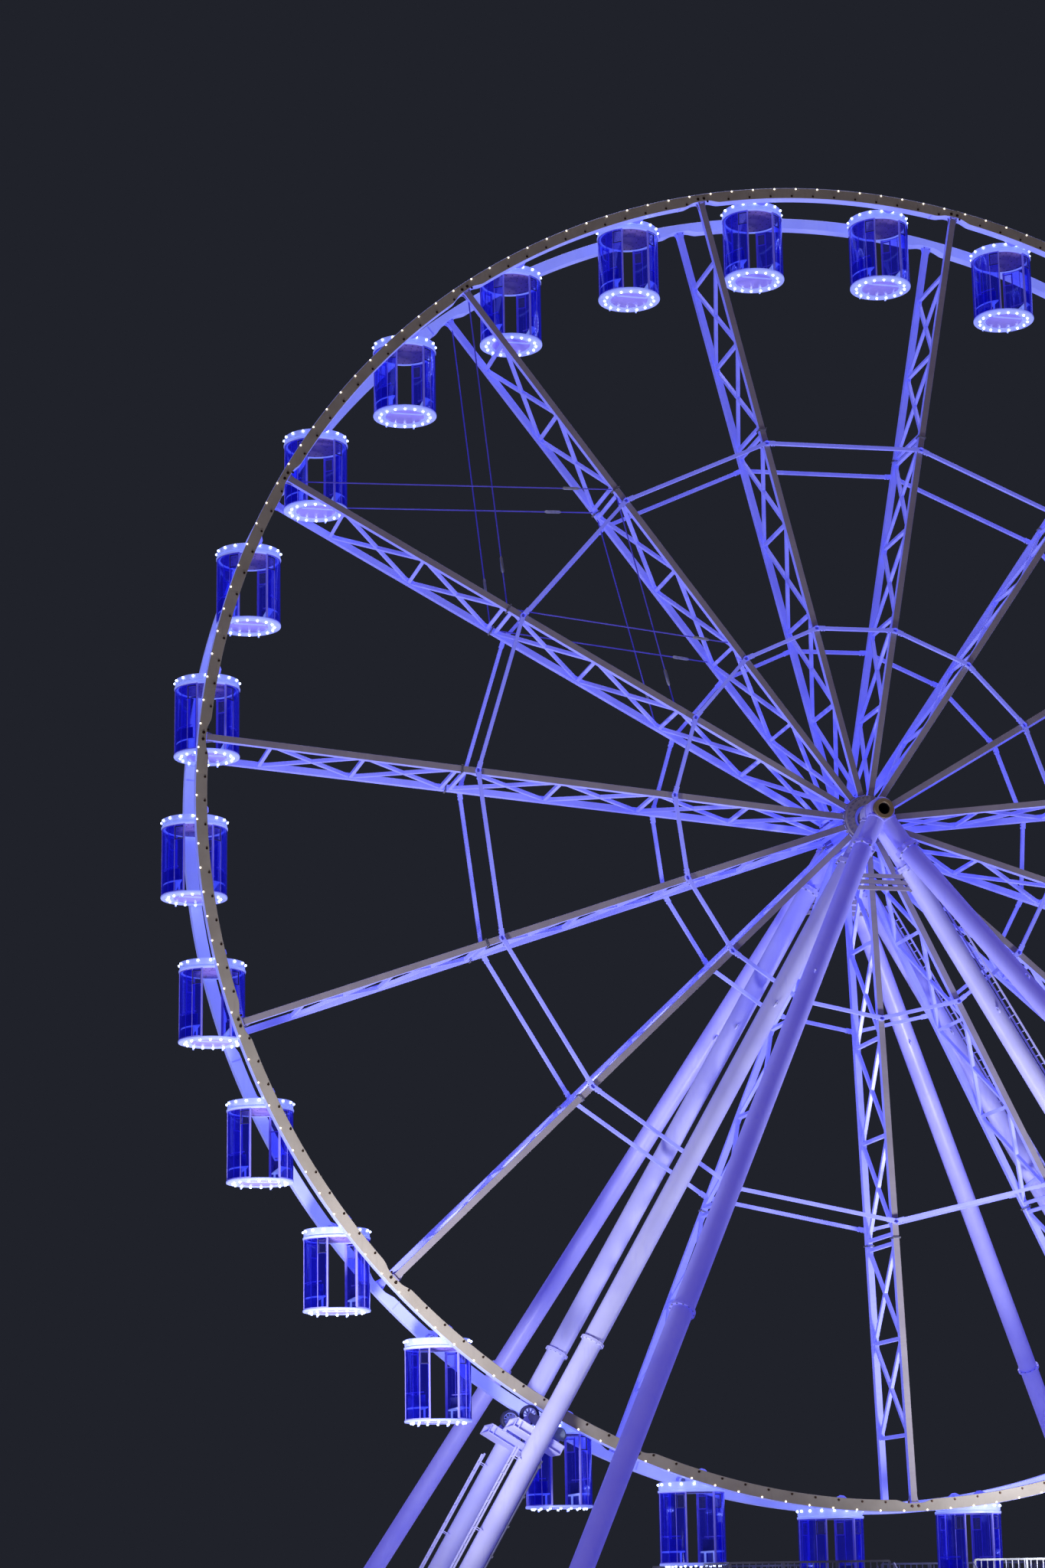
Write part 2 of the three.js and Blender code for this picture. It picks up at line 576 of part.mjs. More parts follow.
/** The boarding platform: deck on posts from the base beams and the ground, stairs and guard rails. */
function platformGeometry() {
  const x = DECK_LENGTH / 2;
  const y = DECK_WIDTH / 2;
  const pieces = [block(-x, x, -y, y, DECK_TOP - DECK_THICKNESS, DECK_TOP)];
  for (const side of [-1, 1]) {
    pieces.push(stairGeometry(side));
    const beam = [INNER_LEG.foot[1], BASE_BEAM + JOINT_GAP];
    const beamPosts = [-POST_AT_END, -POST_AT_STAIR, POST_AT_STAIR, POST_AT_END];
    const onBeam = beamPosts.map((share) => [share, ...beam]);
    const onGround = [-POST_AT_END, POST_AT_END].map((share) => [share, y - POST, 0]);
    for (const [share, out, foot] of [...onBeam, ...onGround]) {
      const at = new THREE.Vector3(share * x, side * out, foot);
      pieces.push(bar(at, at.clone().setZ(DECK_TOP - DECK_THICKNESS + LAP), POST));
    }
    for (const hand of [-1, 1]) {
      const corner = new THREE.Vector3(hand * (x - RAIL), side * (y - RAIL), DECK_TOP);
      const besideStair = corner.clone().setX(hand * (STAIR_WIDTH / 2 + RAIL));
      const besideLane = corner.clone().setY(side * LANE_HALF);
      pieces.push(...railPieces(besideStair, corner, LONG_RAIL_POSTS));
      pieces.push(...railPieces(besideLane, corner, END_RAIL_POSTS));
    }
  }
  return geometryOf(joined(pieces));
}

const group = new THREE.Group();
const machine = new THREE.Group();
machine.position.set(0, 0, HUB_HEIGHT);
group.add(machine);

machine.add(part('axle', axleGeometry(), CREAM_STEEL));
machine.add(part('hub', hubGeometry(), WHITE_STEEL));
machine.add(part('front_rim', rimGeometry(-1), CREAM_STEEL));
machine.add(part('rear_rim', rimGeometry(1), WHITE_STEEL));
machine.add(part('outer_hoop', hoopGeometry(OUTER_HOOP_RADIUS), WHITE_STEEL));
machine.add(part('inner_hoop', hoopGeometry(INNER_HOOP_RADIUS), WHITE_STEEL));

const spoke = spokeGeometry();
for (let i = 0; i < BAYS; i += 1) {
  const mesh = part(`spoke_${String(i + 1).padStart(2, '0')}`, spoke, WHITE_STEEL);
  mesh.rotation.y = -radians(SPOKE_PHASE + (i * 360) / BAYS);
  machine.add(mesh);
}

const cabin = cabinGeometry();
for (let i = 0; i < BAYS * 2; i += 1) {
  const mesh = part(`cabin_${String(i + 1).padStart(2, '0')}`, cabin, CABIN_WHITE);
  mesh.position.copy(wheelPoint(PIVOT_RADIUS, SPOKE_PHASE + ((i + 0.5) * 180) / BAYS, 0));
  machine.add(mesh);
}

for (const [end, side] of [['front', -1], ['rear', 1]]) {
  const inner = [...legPieces(INNER_LEG, INNER_HEAD_Y, side), ...crossBeams(side), ...drivePieces(side)];
  machine.add(part(`${end}_inner_legs`, legFrameGeometry(inner), WHITE_STEEL));
  const outer = legPieces(OUTER_LEG, OUTER_HEAD_Y, side);
  machine.add(part(`${end}_outer_legs`, legFrameGeometry(outer), WHITE_STEEL));
  const tyre = part(`${end}_drive_tyre`, tyreGeometry(), RUBBER);
  tyre.position.copy(tyreCentre(side));
  machine.add(tyre);
}

group.add(part('base_frame', baseGeometry(legSeats()), GREY_STEEL));
group.add(part('boarding_platform', platformGeometry(), GREY_STEEL));

export default group;
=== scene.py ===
"""Observation wheel with hanging glass cabins at half size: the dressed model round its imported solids.

Metres, +Z up, origin on the ground under the middle of the axle. The wheel turns in the XZ plane, its axle
lies along Y, and the front of the wheel faces -Y.
"""
import logging
import math
from dataclasses import dataclass, field
from enum import Enum

import bmesh
import bpy
from mathutils import Matrix, Vector


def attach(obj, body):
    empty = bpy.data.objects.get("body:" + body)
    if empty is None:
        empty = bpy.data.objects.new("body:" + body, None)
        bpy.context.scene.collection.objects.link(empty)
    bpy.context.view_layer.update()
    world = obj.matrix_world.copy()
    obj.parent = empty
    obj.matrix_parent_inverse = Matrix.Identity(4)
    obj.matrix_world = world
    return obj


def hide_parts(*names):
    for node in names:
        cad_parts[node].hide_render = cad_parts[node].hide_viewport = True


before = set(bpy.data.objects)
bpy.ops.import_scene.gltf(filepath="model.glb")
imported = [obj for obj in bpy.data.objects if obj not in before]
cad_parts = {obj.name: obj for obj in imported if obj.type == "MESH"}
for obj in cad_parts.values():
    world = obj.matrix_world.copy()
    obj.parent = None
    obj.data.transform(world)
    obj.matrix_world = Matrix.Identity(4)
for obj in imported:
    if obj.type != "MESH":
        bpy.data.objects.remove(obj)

LOG = logging.getLogger("observation_wheel")

# The wheel's driving sizes, in metres and degrees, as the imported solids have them.
HUB_HEIGHT = 13.15
LIGHT_RADIUS = 11.0
PIVOT_RADIUS = 10.9275
BAYS = 15
BAY_ANGLE = 360.0 / BAYS
CABIN_ANGLE = BAY_ANGLE / 2
SPOKE_PHASE = 79.4
X_AXIS = Vector((1.0, 0.0, 0.0))
Y_AXIS = Vector((0.0, 1.0, 0.0))
Z_AXIS = Vector((0.0, 0.0, 1.0))
CORNERS = ((-1, -1), (-1, 1), (1, -1), (1, 1))


class End(Enum):
    """The front or the rear of the machine, with its sign along Y."""

    FRONT = -1
    REAR = 1

    @property
    def label(self) -> str:
        """Lower-case name used in the names of pieces."""
        return self.name.lower()

    @property
    def out(self) -> Vector:
        """Direction away from the middle of the machine."""
        return Y_AXIS * self.value


class Hand(Enum):
    """The left or the right of the machine seen from the front, with its sign along X."""

    LEFT = -1
    RIGHT = 1

    @property
    def label(self) -> str:
        """Lower-case name used in the names of pieces."""
        return self.name.lower()


class Stance(Enum):
    """How a pair of legs stands: upright beside the wheel, or splayed outwards along the axle."""

    INNER = "inner"
    OUTER = "outer"


def spoke_angle(index: int) -> float:
    """Angle in degrees of a spoke, from +X towards +Z."""
    return SPOKE_PHASE + index * BAY_ANGLE


def wheel_point(radius: float, degrees: float, y: float) -> Vector:
    """A point given in the wheel's plane.

    Args:
        radius: Distance from the axle's line.
        degrees: Angle from +X towards +Z.
        y: Place along the axle.

    Returns:
        The point in the row frame.
    """
    angle = math.radians(degrees)
    return Vector((radius * math.cos(angle), y, HUB_HEIGHT + radius * math.sin(angle)))


def wheel_turn(degrees: float) -> Matrix:
    """Turn about the axle's line that brings +X to that angle of the wheel."""
    return Matrix.Translation((0, 0, HUB_HEIGHT)) @ Matrix.Rotation(-math.radians(degrees), 4, "Y")


def around(count: int, shift: float = 0.0) -> list[float]:
    """Angles in radians of things set evenly round a circle; the shift is a share of one step."""
    return [2 * math.pi * (k + shift) / count for k in range(count)]


def linear(hex_colour: str) -> tuple[float, float, float, float]:
    """Turns an sRGB colour to linear light.

    Args:
        hex_colour: Six hex digits after a hash sign.

    Returns:
        Red, green, blue and an alpha of one.
    """
    values = [int(hex_colour[i:i + 2], 16) / 255 for i in (1, 3, 5)]
    return (*(v / 12.92 if v <= 0.04045 else ((v + 0.055) / 1.055) ** 2.4 for v in values), 1.0)


def add_node(tree: bpy.types.NodeTree, kind: str, settings: dict | None = None,
             values: dict | None = None, links: dict | None = None) -> bpy.types.Node:
    """Adds one node with its settings and links.

    Args:
        tree: The node tree that takes the node.
        kind: Blender's name of the node's type.
        settings: The node's own properties by name.
        values: Constant values of input sockets by name or number.
        links: Output sockets that feed input sockets, by the input's name or number.

    Returns:
        The new node.
    """
    node = tree.nodes.new(kind)
    for name, value in (settings or {}).items():
        setattr(node, name, value)
    for name, value in (values or {}).items():
        node.inputs[name].default_value = value
    for name, socket in (links or {}).items():
        tree.links.new(socket, node.inputs[name])
    return node


@dataclass(frozen=True)
class Finish:
    """What every finish has: a name, its main colour and the one it wears or weathers to."""

    name: str
    colour: str
    second: str
    roughness: float

    def material(self) -> bpy.types.Material:
        """Makes the material, or finds it if it is there already.

        Returns:
            The material.
        """
        found = bpy.data.materials.get(self.name)
        if found:
            return found
        made = bpy.data.materials.new(self.name)
        made.use_nodes = True
        made.node_tree.nodes.clear()
        made.diffuse_color = linear(self.colour)
        shader = self.shade(made.node_tree)
        add_node(made.node_tree, "ShaderNodeOutputMaterial", links={"Surface": shader.outputs[0]})
        return made

    def shade(self, tree: bpy.types.NodeTree) -> bpy.types.Node:
        """Builds the nodes and returns the shader."""
        raise NotImplementedError

    def blotches(self, tree: bpy.types.NodeTree, size_mm: float, low: float, high: float, most: float = 1.0,
                 stretch: tuple[float, float, float] = (1.0, 1.0, 1.0)) -> bpy.types.NodeSocket:
        """Soft patches in the object's own space, from 0 to their greatest strength.

        Args:
            tree: The node tree.
            size_mm: Size of a patch.
            low: Noise value that becomes 0.
            high: Noise value that becomes the greatest strength.
            most: The greatest strength.
            stretch: How much finer the pattern is along each axis.

        Returns:
            The socket with the patches' strength.
        """
        place = add_node(tree, "ShaderNodeTexCoord")
        scaled = add_node(tree, "ShaderNodeMapping", values={"Scale": stretch},
                          links={"Vector": place.outputs["Object"]})
        noise = add_node(tree, "ShaderNodeTexNoise", values={"Scale": 1000 / size_mm, "Detail": 3.0},
                         links={"Vector": scaled.outputs[0]})
        spread = add_node(tree, "ShaderNodeMapRange",
                          values={"From Min": low, "From Max": high, "To Max": most},
                          links={"Value": noise.outputs[0]})
        return spread.outputs[0]

    def two_tone(self, tree: bpy.types.NodeTree, share: bpy.types.NodeSocket) -> bpy.types.NodeSocket:
        """Mixes the finish's two colours by a pattern's strength.

        Args:
            tree: The material's node tree.
            share: Strength of the second colour, 0 to 1.

        Returns:
            The socket with the mixed colour.
        """
        mix = add_node(tree, "ShaderNodeMix", {"data_type": "RGBA"},
                       {6: linear(self.colour), 7: linear(self.second)}, {0: share})
        return mix.outputs[2]


@dataclass(frozen=True)
class PowderCoat(Finish):
    """Polyester powder coat on shot-blasted steel: an even satin skin with a fine orange peel.

    Rain and road dust leave soft darker patches a few hands wide, and the gloss is broken up by them.
    Where the rows of lamps wash it with their blue light, a painted glow, even all over, stands in for that
    light.
    """

    patch_mm: float = 420.0
    painted_lamp_wash: str = "#5566ff"
    painted_lamp_wash_strength: float = 0.0

    def shade(self, tree: bpy.types.NodeTree) -> bpy.types.Node:
        """Satin dielectric with dust patches, orange peel and an even painted glow.

        Args:
            tree: The material's node tree.

        Returns:
            The shader.
        """
        dust = self.blotches(tree, self.patch_mm, 0.42, 0.8, 0.5)
        runs = self.blotches(tree, 60.0, 0.5, 0.85, 0.35, (1.0, 1.0, 0.15))
        both = add_node(tree, "ShaderNodeMath", {"operation": "MAXIMUM"}, links={0: dust, 1: runs})
        gloss = add_node(tree, "ShaderNodeMapRange",
                         values={"To Min": self.roughness, "To Max": self.roughness + 0.22},
                         links={"Value": both.outputs[0]})
        # Orange peel is about 3 mm from crest to crest; drawn at 16 mm so that it shows.
        peel = self.blotches(tree, 16.0, 0.3, 0.7)
        bump = add_node(tree, "ShaderNodeBump", values={"Strength": 0.08, "Distance": 0.0015},
                        links={"Height": peel})
        # The emission is painted light: an even glow that stands in for the rows of lamps' blue light.
        return add_node(tree, "ShaderNodeBsdfPrincipled", values={"IOR": 1.5, "Coat Weight": 0.15,
                        "Coat Roughness": 0.25, "Emission Color": linear(self.painted_lamp_wash),
                        "Emission Strength": self.painted_lamp_wash_strength},
                        links={"Base Color": self.two_tone(tree, both.outputs[0]),
                               "Roughness": gloss.outputs[0], "Normal": bump.outputs[0]})


@dataclass(frozen=True)
class BareMetal(Finish):
    """Bare metal that was rolled, galvanised or blackened: grain or spangle in the gloss and the tone."""

    grain_mm: float = 30.0
    stretch: tuple[float, float, float] = (1.0, 1.0, 1.0)

    def shade(self, tree: bpy.types.NodeTree) -> bpy.types.Node:
        """Metal whose tone and roughness follow its grain.

        Args:
            tree: The material's node tree.

        Returns:
            The shader.
        """
        grain = self.blotches(tree, self.grain_mm, 0.35, 0.68, 0.7, self.stretch)
        gloss = add_node(tree, "ShaderNodeMapRange",
                         values={"To Min": self.roughness - 0.08, "To Max": self.roughness + 0.16},
                         links={"Value": grain})
        bump = add_node(tree, "ShaderNodeBump", values={"Strength": 0.15, "Distance": 0.0008},
                        links={"Height": grain})
        return add_node(tree, "ShaderNodeBsdfPrincipled", values={"Metallic": 1.0},
                        links={"Base Color": self.two_tone(tree, grain),
                               "Roughness": gloss.outputs[0], "Normal": bump.outputs[0]})


@dataclass(frozen=True)
class ChequerPlate(Finish):
    """Rolled aluminium chequer plate: raised bars that alternate in direction, dulled by shoes."""

    pitch_mm: float = 60.0

    def shade(self, tree: bpy.types.NodeTree) -> bpy.types.Node:
        """Worn aluminium with raised diagonal bars.

        Args:
            tree: The material's node tree.

        Returns:
            The shader.
        """
        place = add_node(tree, "ShaderNodeTexCoord")
        turned = add_node(tree, "ShaderNodeMapping", values={"Rotation": (0, 0, math.pi / 4)},
                          links={"Vector": place.outputs["Object"]})
        # The real bars are 15 mm apart; drawn at 60 mm so that they show.
        bars = add_node(tree, "ShaderNodeTexBrick",
                        values={"Scale": 1000 / self.pitch_mm / 2, "Mortar Size": 0.035,
                                "Mortar Smooth": 0.4},
                        links={"Vector": turned.outputs[0]})
        worn = self.blotches(tree, 600.0, 0.4, 0.7)
        bump = add_node(tree, "ShaderNodeBump", {"invert": True}, {"Strength": 0.5, "Distance": 0.003},
                        {"Height": bars.outputs["Fac"]})
        gloss = add_node(tree, "ShaderNodeMapRange",
                         values={"To Min": self.roughness, "To Max": self.roughness + 0.25},
                         links={"Value": worn})
        return add_node(tree, "ShaderNodeBsdfPrincipled", values={"Metallic": 1.0},
                        links={"Base Color": self.two_tone(tree, worn),
                               "Roughness": gloss.outputs[0], "Normal": bump.outputs[0]})


@dataclass(frozen=True)
class TintedGlass(Finish):
    """Bent laminated safety glass with a blue interlayer: clear, glossy, and faintly streaked by rain.

    A faint painted glow in the interlayer stands in for the lamps beside it shining into its edges.
    """

    glow: str = "#0c08ff"
    painted_glow_strength: float = 0.065

    def shade(self, tree: bpy.types.NodeTree) -> bpy.types.Node:
        """Transmitting glass, tinted, with dried rain streaks in its gloss and a faint painted glow.

        Args:
            tree: The material's node tree.

        Returns:
            The shader.
        """
        streaks = self.blotches(tree, 40.0, 0.5, 0.8, 1.0, (1.0, 1.0, 0.08))
        gloss = add_node(tree, "ShaderNodeMapRange",
                         values={"To Min": self.roughness, "To Max": self.roughness + 0.12},
                         links={"Value": streaks})
        # The emission is painted light: a faint glow for the lamps beside the glass.
        return add_node(tree, "ShaderNodeBsdfPrincipled", values={"IOR": 1.5, "Transmission Weight": 1.0,
                        "Emission Color": linear(self.glow), "Emission Strength": self.painted_glow_strength},
                        links={"Base Color": self.two_tone(tree, streaks), "Roughness": gloss.outputs[0]})


@dataclass(frozen=True)
class LampCap(Finish):
    """Frosted polycarbonate cap over a lit LED: a bright core that falls off towards the rim."""

    strength: float = 6.0

    def shade(self, tree: bpy.types.NodeTree) -> bpy.types.Node:
        """Glowing cap, a little uneven as moulded diffusers are.

        Args:
            tree: The material's node tree.

        Returns:
            The shader.
        """
        uneven = self.blotches(tree, 30.0, 0.3, 0.7)
        glow = add_node(tree, "ShaderNodeMapRange",
                        values={"To Min": self.strength * 0.85, "To Max": self.strength},
                        links={"Value": uneven})
        colour = self.two_tone(tree, uneven)
        return add_node(tree, "ShaderNodeBsdfPrincipled", values={"IOR": 1.58, "Roughness": self.roughness},
                        links={"Base Color": colour, "Emission Color": colour,
                               "Emission Strength": glow.outputs[0]})


@dataclass(frozen=True)
class Moulded(Finish):
    """Moulded rubber or plastic: fine grain from the mould, dust in the hollows, no metal shine."""

    grain_mm: float = 8.0
    ior: float = 1.5

    def shade(self, tree: bpy.types.NodeTree) -> bpy.types.Node:
        """Dull dielectric with mould grain and dust.

        Args:
            tree: The material's node tree.

        Returns:
            The shader.
        """
        dust = self.blotches(tree, 160.0, 0.45, 0.75)
        grain = self.blotches(tree, self.grain_mm, 0.3, 0.7)
        gloss = add_node(tree, "ShaderNodeMapRange",
                         values={"To Min": self.roughness - 0.05, "To Max": self.roughness + 0.1},
                         links={"Value": dust})
        bump = add_node(tree, "ShaderNodeBump", values={"Strength": 0.2, "Distance": 0.001},
                        links={"Height": grain})
        return add_node(tree, "ShaderNodeBsdfPrincipled", values={"IOR": self.ior},
                        links={"Base Color": self.two_tone(tree, dust),
                               "Roughness": gloss.outputs[0], "Normal": bump.outputs[0]})


# White coat painted lilac and given a painted blue glow, for the coloured rim lights and floodlights that
# leave it lilac.
LILAC_COAT = PowderCoat("lilac white powder coat", "#a8aefb", "#7f80ee", 0.38,
                        painted_lamp_wash="#5c62ff", painted_lamp_wash_strength=0.42)
# The same coat on the rims, with the strongest painted glow, where the rows of lamps stand closest and wash
# it most.
RIM_COAT = PowderCoat("rim powder coat", "#aab2fb", "#8288ee", 0.38, painted_lamp_wash="#8490ff", painted_lamp_wash_strength=0.55)
# The same coat on the tubes of the stand, thicker and a little cooler, with a weak painted blue glow for the
# lamps' light.
LEG_COAT = PowderCoat("leg powder coat", "#c9cbf4", "#9d9ce6", 0.4, 700.0, "#3a30ff", 0.14)
# The leg coat again with a stronger painted blue glow: the outer legs stand where the blue light reaches them
# more than the white does.
OUTER_LEG_COAT = PowderCoat("outer leg powder coat", "#bfc0f4", "#9391e6", 0.4, 700.0, "#352cff", 0.34)
# A darker coat on the thin brace rods, painted shade where the rows of lamps hardly reach, with a faint
# painted blue glow.
ROD_COAT = PowderCoat("brace rod coat", "#5f5ac4", "#423e9a", 0.4, 300.0, "#2a20ff", 0.12)
# Warm cream on the face of the front rim: painted light for the warm light that falls on the front, with none
# of the painted blue glow of the rest of the rim.
CREAM_COAT = PowderCoat("warm cream powder coat", "#a9a29a", "#827970", 0.45)
# The same coat, duller and warmer, with the faintest painted glow, on the hub's rings and the cross beams; on
# the spokes' front faces it is painted light for the warm front light.
STONE_COAT = PowderCoat("stone powder coat", "#9b95a0", "#78707c", 0.45, painted_lamp_wash="#5a30ff", painted_lamp_wash_strength=0.02)
# Zinc primer that shows on the worn axle.
AXLE_COAT = PowderCoat("tan axle primer", "#7f6c56", "#57483a", 0.5, 160.0)
# Gloss coat of the cabin roofs and floors, painted pale blue and given a painted glow for the lamps beside
# it.
CABIN_COAT = PowderCoat("cabin white powder coat", "#b9c0ff", "#959dff", 0.34, 260.0, "#8094ff", 0.6)
# The disc under the floor, painted pinker than its ring and given a painted glow for the lamps round it.
FLOOR_COAT = PowderCoat("floor disc powder coat", "#b3a9ff", "#938cff", 0.35, 260.0, "#6a5cff", 0.26)
# Pink-violet lining sheet under the roofs.
LINING = Moulded("violet ceiling laminate", "#9d86ea", "#7a66d2", 0.5)
# Hot-dip galvanised steel: the spangle is 15 mm wide; drawn at 60 mm so that it shows.
GALVANISED = BareMetal("hot-dip galvanised steel", "#b4b7cc", "#9497b2", 0.5, 60.0)
# Lilac coat on the slim posts of the cabins, with a faint painted blue glow for the lamps' light.
POST_COAT = PowderCoat("cabin post powder coat", "#a39ff0", "#7d78dc", 0.36, 120.0, "#4034ff", 0.16)
# Drawn, anodised aluminium: fine lines along the profile, cool and satin.
ANODISED = BareMetal("anodised aluminium", "#ccd0f4", "#a3a8d8", 0.34, 24.0, (1.0, 1.0, 0.05))
# Oiled black oxide on bolts: nearly black with a brown cast.
BLACK_OXIDE = BareMetal("black oxide steel", "#5c463c", "#3a2c29", 0.5, 12.0)
# Rolled aluminium underfoot: rows of raised bars, dull grey where shoes have worn it.
CHEQUER = ChequerPlate("aluminium chequer plate", "#a9adb6", "#7f838c", 0.42)
# Bent laminated glass: clear and glossy, with a blue interlayer given a faint painted glow.
GLASS = TintedGlass("blue laminated glass", "#aab0ff", "#bcc1ff", 0.03)
# Plain glass of the vents and the door leaves: no interlayer, so hardly a tint, and only the faintest painted
# glow.
CLEAR_GLASS = TintedGlass("clear safety glass", "#e6e9ff", "#f1f3ff", 0.03, "#2a20ff", 0.02)
# Frosted caps of the cabins' lamps: cold blue-white and the brightest things on the wheel.
CABIN_LAMP = LampCap("cabin lamp cap", "#c9d6ff", "#9fb4ff", 0.4, 9.0)
# Smaller frosted caps on the rims: warm white points.
RIM_LAMP = LampCap("rim lamp cap", "#fff8ec", "#ffe9c8", 0.4, 4.0)
# Vulcanised rubber of tyres and seals: dull and nearly black, with a painted blue cast for the lamps' light;
# it also darkens the ceiling's holes as painted shade.
TYRE_RUBBER = Moulded("tyre rubber", "#22224c", "#363570", 0.7)
# Gel coat on glass-fibre seats: smooth, blue and a little glossy.
GEL_COAT = Moulded("gel-coated bench", "#565bc0", "#3d4296", 0.35)
# Baked enamel on cast aluminium: pale blue with a fine cast grain.
MOTOR_ENAMEL = Moulded("motor enamel", "#9fb0d8", "#6c7aa6", 0.42, 6.0)
# Painted shade inside the axle's bore: a near-black lining that takes up light, so the bore reads as deep.
SHADOW = Moulded("bore painted shade", "#141018", "#241c20", 0.9)


@dataclass
class Shape:
    """Points and faces of one piece; each face carries the number of the finish it takes."""

    points: list[Vector] = field(default_factory=list)
    faces: list[tuple[int, ...]] = field(default_factory=list)
    marks: list[int] = field(default_factory=list)

    def add(self, points: list[Vector], faces: list[tuple[int, ...]], mark: int = 0) -> None:
        """Adds a closed shell.

        Args:
            points: The shell's corners.
            faces: Corner numbers of each face.
            mark: Number of the finish.
        """
        first = len(self.points)
        self.points.extend(points)
        self.faces.extend(tuple(first + i for i in face) for face in faces)
        self.marks.extend([mark] * len(faces))

    def merge(self, other: "Shape") -> None:
        """Adds all of another shape, which keeps its marks.

        Args:
            other: The other shape.
        """
        first = len(self.points)
        self.points.extend(other.points)
        self.faces.extend(tuple(first + i for i in face) for face in other.faces)
        self.marks.extend(other.marks)

    def moved(self, place: Matrix) -> "Shape":
        """A copy of the shape, moved by a matrix."""
        return Shape([place @ p for p in self.points], self.faces, self.marks)

    def prism(self, outline: list[Vector], depth: Vector, mark: int = 0) -> None:
        """Adds the solid between a flat outline and the same outline moved by a vector.

        Args:
            outline: Corners in order.
            depth: Where the copy goes.
            mark: Number of the finish.
        """
        count = len(outline)
        rings = list(outline) + [p + depth for p in outline]
        sides = [(i, (i + 1) % count, count + (i + 1) % count, count + i) for i in range(count)]
        ends = [tuple(range(count)), tuple(range(2 * count - 1, count - 1, -1))]
        self.add(rings, sides + ends, mark)

    def plate(self, outline: list[Vector], across: Vector, thick: float) -> None:
        """Adds a flat plate, half of its thickness to each side of an outline."""
        self.prism([p - across * (thick / 2) for p in outline], across * thick)

    def box(self, low: tuple[float, float, float], high: tuple[float, float, float]) -> None:
        """Adds a box between two corners.

        Args:
            low: Least X, Y and Z.
            high: Greatest X, Y and Z.
        """
        outline = [Vector((x, y, low[2])) for x, y in
                   ((low[0], low[1]), (high[0], low[1]), (high[0], high[1]), (low[0], high[1]))]
        self.prism(outline, Vector((0, 0, high[2] - low[2])))

    def bar(self, start: Vector, end: Vector, width: float, height: float = 0.0,
            across: Vector = Y_AXIS, mark: int = 0) -> None:
        """Adds a straight bar of rectangular section.

        Args:
            start: Middle of one end.
            end: Middle of the other end.
            width: Size along the across direction.
            height: Size square to it; the width if left out.
            across: Direction of the width, made square to the bar.
            mark: Number of the finish.
        """
        along = (end - start).normalized()
        wide = (across - along * across.dot(along)).normalized() * width / 2
        tall = along.cross(wide).normalized() * (height or width) / 2
        self.prism([start + wide + tall, start - wide + tall, start - wide - tall, start + wide - tall],
                   end - start, mark)

    def turned(self, profile: list[tuple[float, float]], origin: Vector, axis: Vector, sides: int,
               mark: int = 0) -> None:
        """Adds a solid of revolution from an open profile; a radius of zero closes it with a point.

        Args:
            profile: Radius and place along the axis, from one end to the other.
            origin: Where the places start.
            axis: Direction of the axis.
            sides: Corners around.
            mark: Number of the finish.
        """
        self._rings(profile, origin, axis, sides, mark, closed=False)

    def ring(self, profile: list[tuple[float, float]], origin: Vector, axis: Vector, sides: int,
             mark: int = 0) -> None:
        """Adds a ring from a closed profile, which doesn't touch the axis."""
        self._rings(profile, origin, axis, sides, mark, closed=True)

    def _rings(self, profile: list[tuple[float, float]], origin: Vector, axis: Vector, sides: int,
               mark: int, closed: bool) -> None:
        """Joins the circles of a profile's corners into a surface.

        Args:
            profile: Radius and place along the axis of each corner.
            origin: Where the places start.
            axis: Direction of the axis.
            sides: Corners around.
            mark: Number of the finish.
            closed: Whether the last corner joins the first.
        """
        along = axis.normalized()
        side = along.orthogonal().normalized()
        other = along.cross(side)
        points: list[Vector] = []
        rows: list[list[int]] = []
        for radius, place in profile:
            centre = origin + along * place
            if radius < 1e-7:
                rows.append([len(points)] * sides)
                points.append(centre)
                continue
            rows.append(list(range(len(points), len(points) + sides)))
            for angle in around(sides):
                points.append(centre + (side * math.cos(angle) + other * math.sin(angle)) * radius)
        faces = []
        count = len(rows)
        for i in range(count if closed else count - 1):
            a, b = rows[i], rows[(i + 1) % count]
            for k in range(sides):
                corners = (a[k], a[(k + 1) % sides], b[(k + 1) % sides], b[k])
                face = tuple(dict.fromkeys(corners))
                if len(face) > 2:
                    faces.append(face)
        if not closed:
            for row in (rows[0], rows[-1]):
                if row[0] != row[1]:
                    faces.append(tuple(row))
        self.add(points, faces, mark)

    def tube(self, start: Vector, end: Vector, radius: float, sides: int, mark: int = 0) -> None:
        """Adds a round bar."""
        self.turned([(radius, 0.0), (radius, (end - start).length)], start, end - start, sides, mark)

    def bolt(self, place: Vector, axis: Vector, size: float, mark: int = 0) -> None:
        """Adds a hexagon head on a washer; the size is across the head's corners.

        Args:
            place: Middle of the seat.
            axis: Direction that the head stands in.
            size: Size across the head's corners.
            mark: Number of the finish.
        """
        along = axis.normalized()
        self.tube(place - along * size * 0.05, place + along * size * 0.1, size * 0.68, 10, mark)
        self.tube(place + along * size * 0.09, place + along * size * 0.5, size * 0.5, 6, mark)

    def bolt_circle(self, centre: Vector, axis: Vector, radius: float, count: int, size: float,
                    mark: int = 0) -> None:
        """Adds bolts evenly round a circle.

        Args:
            centre: Middle of the circle.
            axis: Direction that the heads stand in.
            radius: Radius of the circle.
            count: Number of bolts.
            size: Size of a head.
            mark: Number of the finish.
        """
        along = axis.normalized()
        side = along.orthogonal().normalized()
        for angle in around(count):
            self.bolt(centre + Matrix.Rotation(angle, 3, along) @ side * radius, along, size, mark)

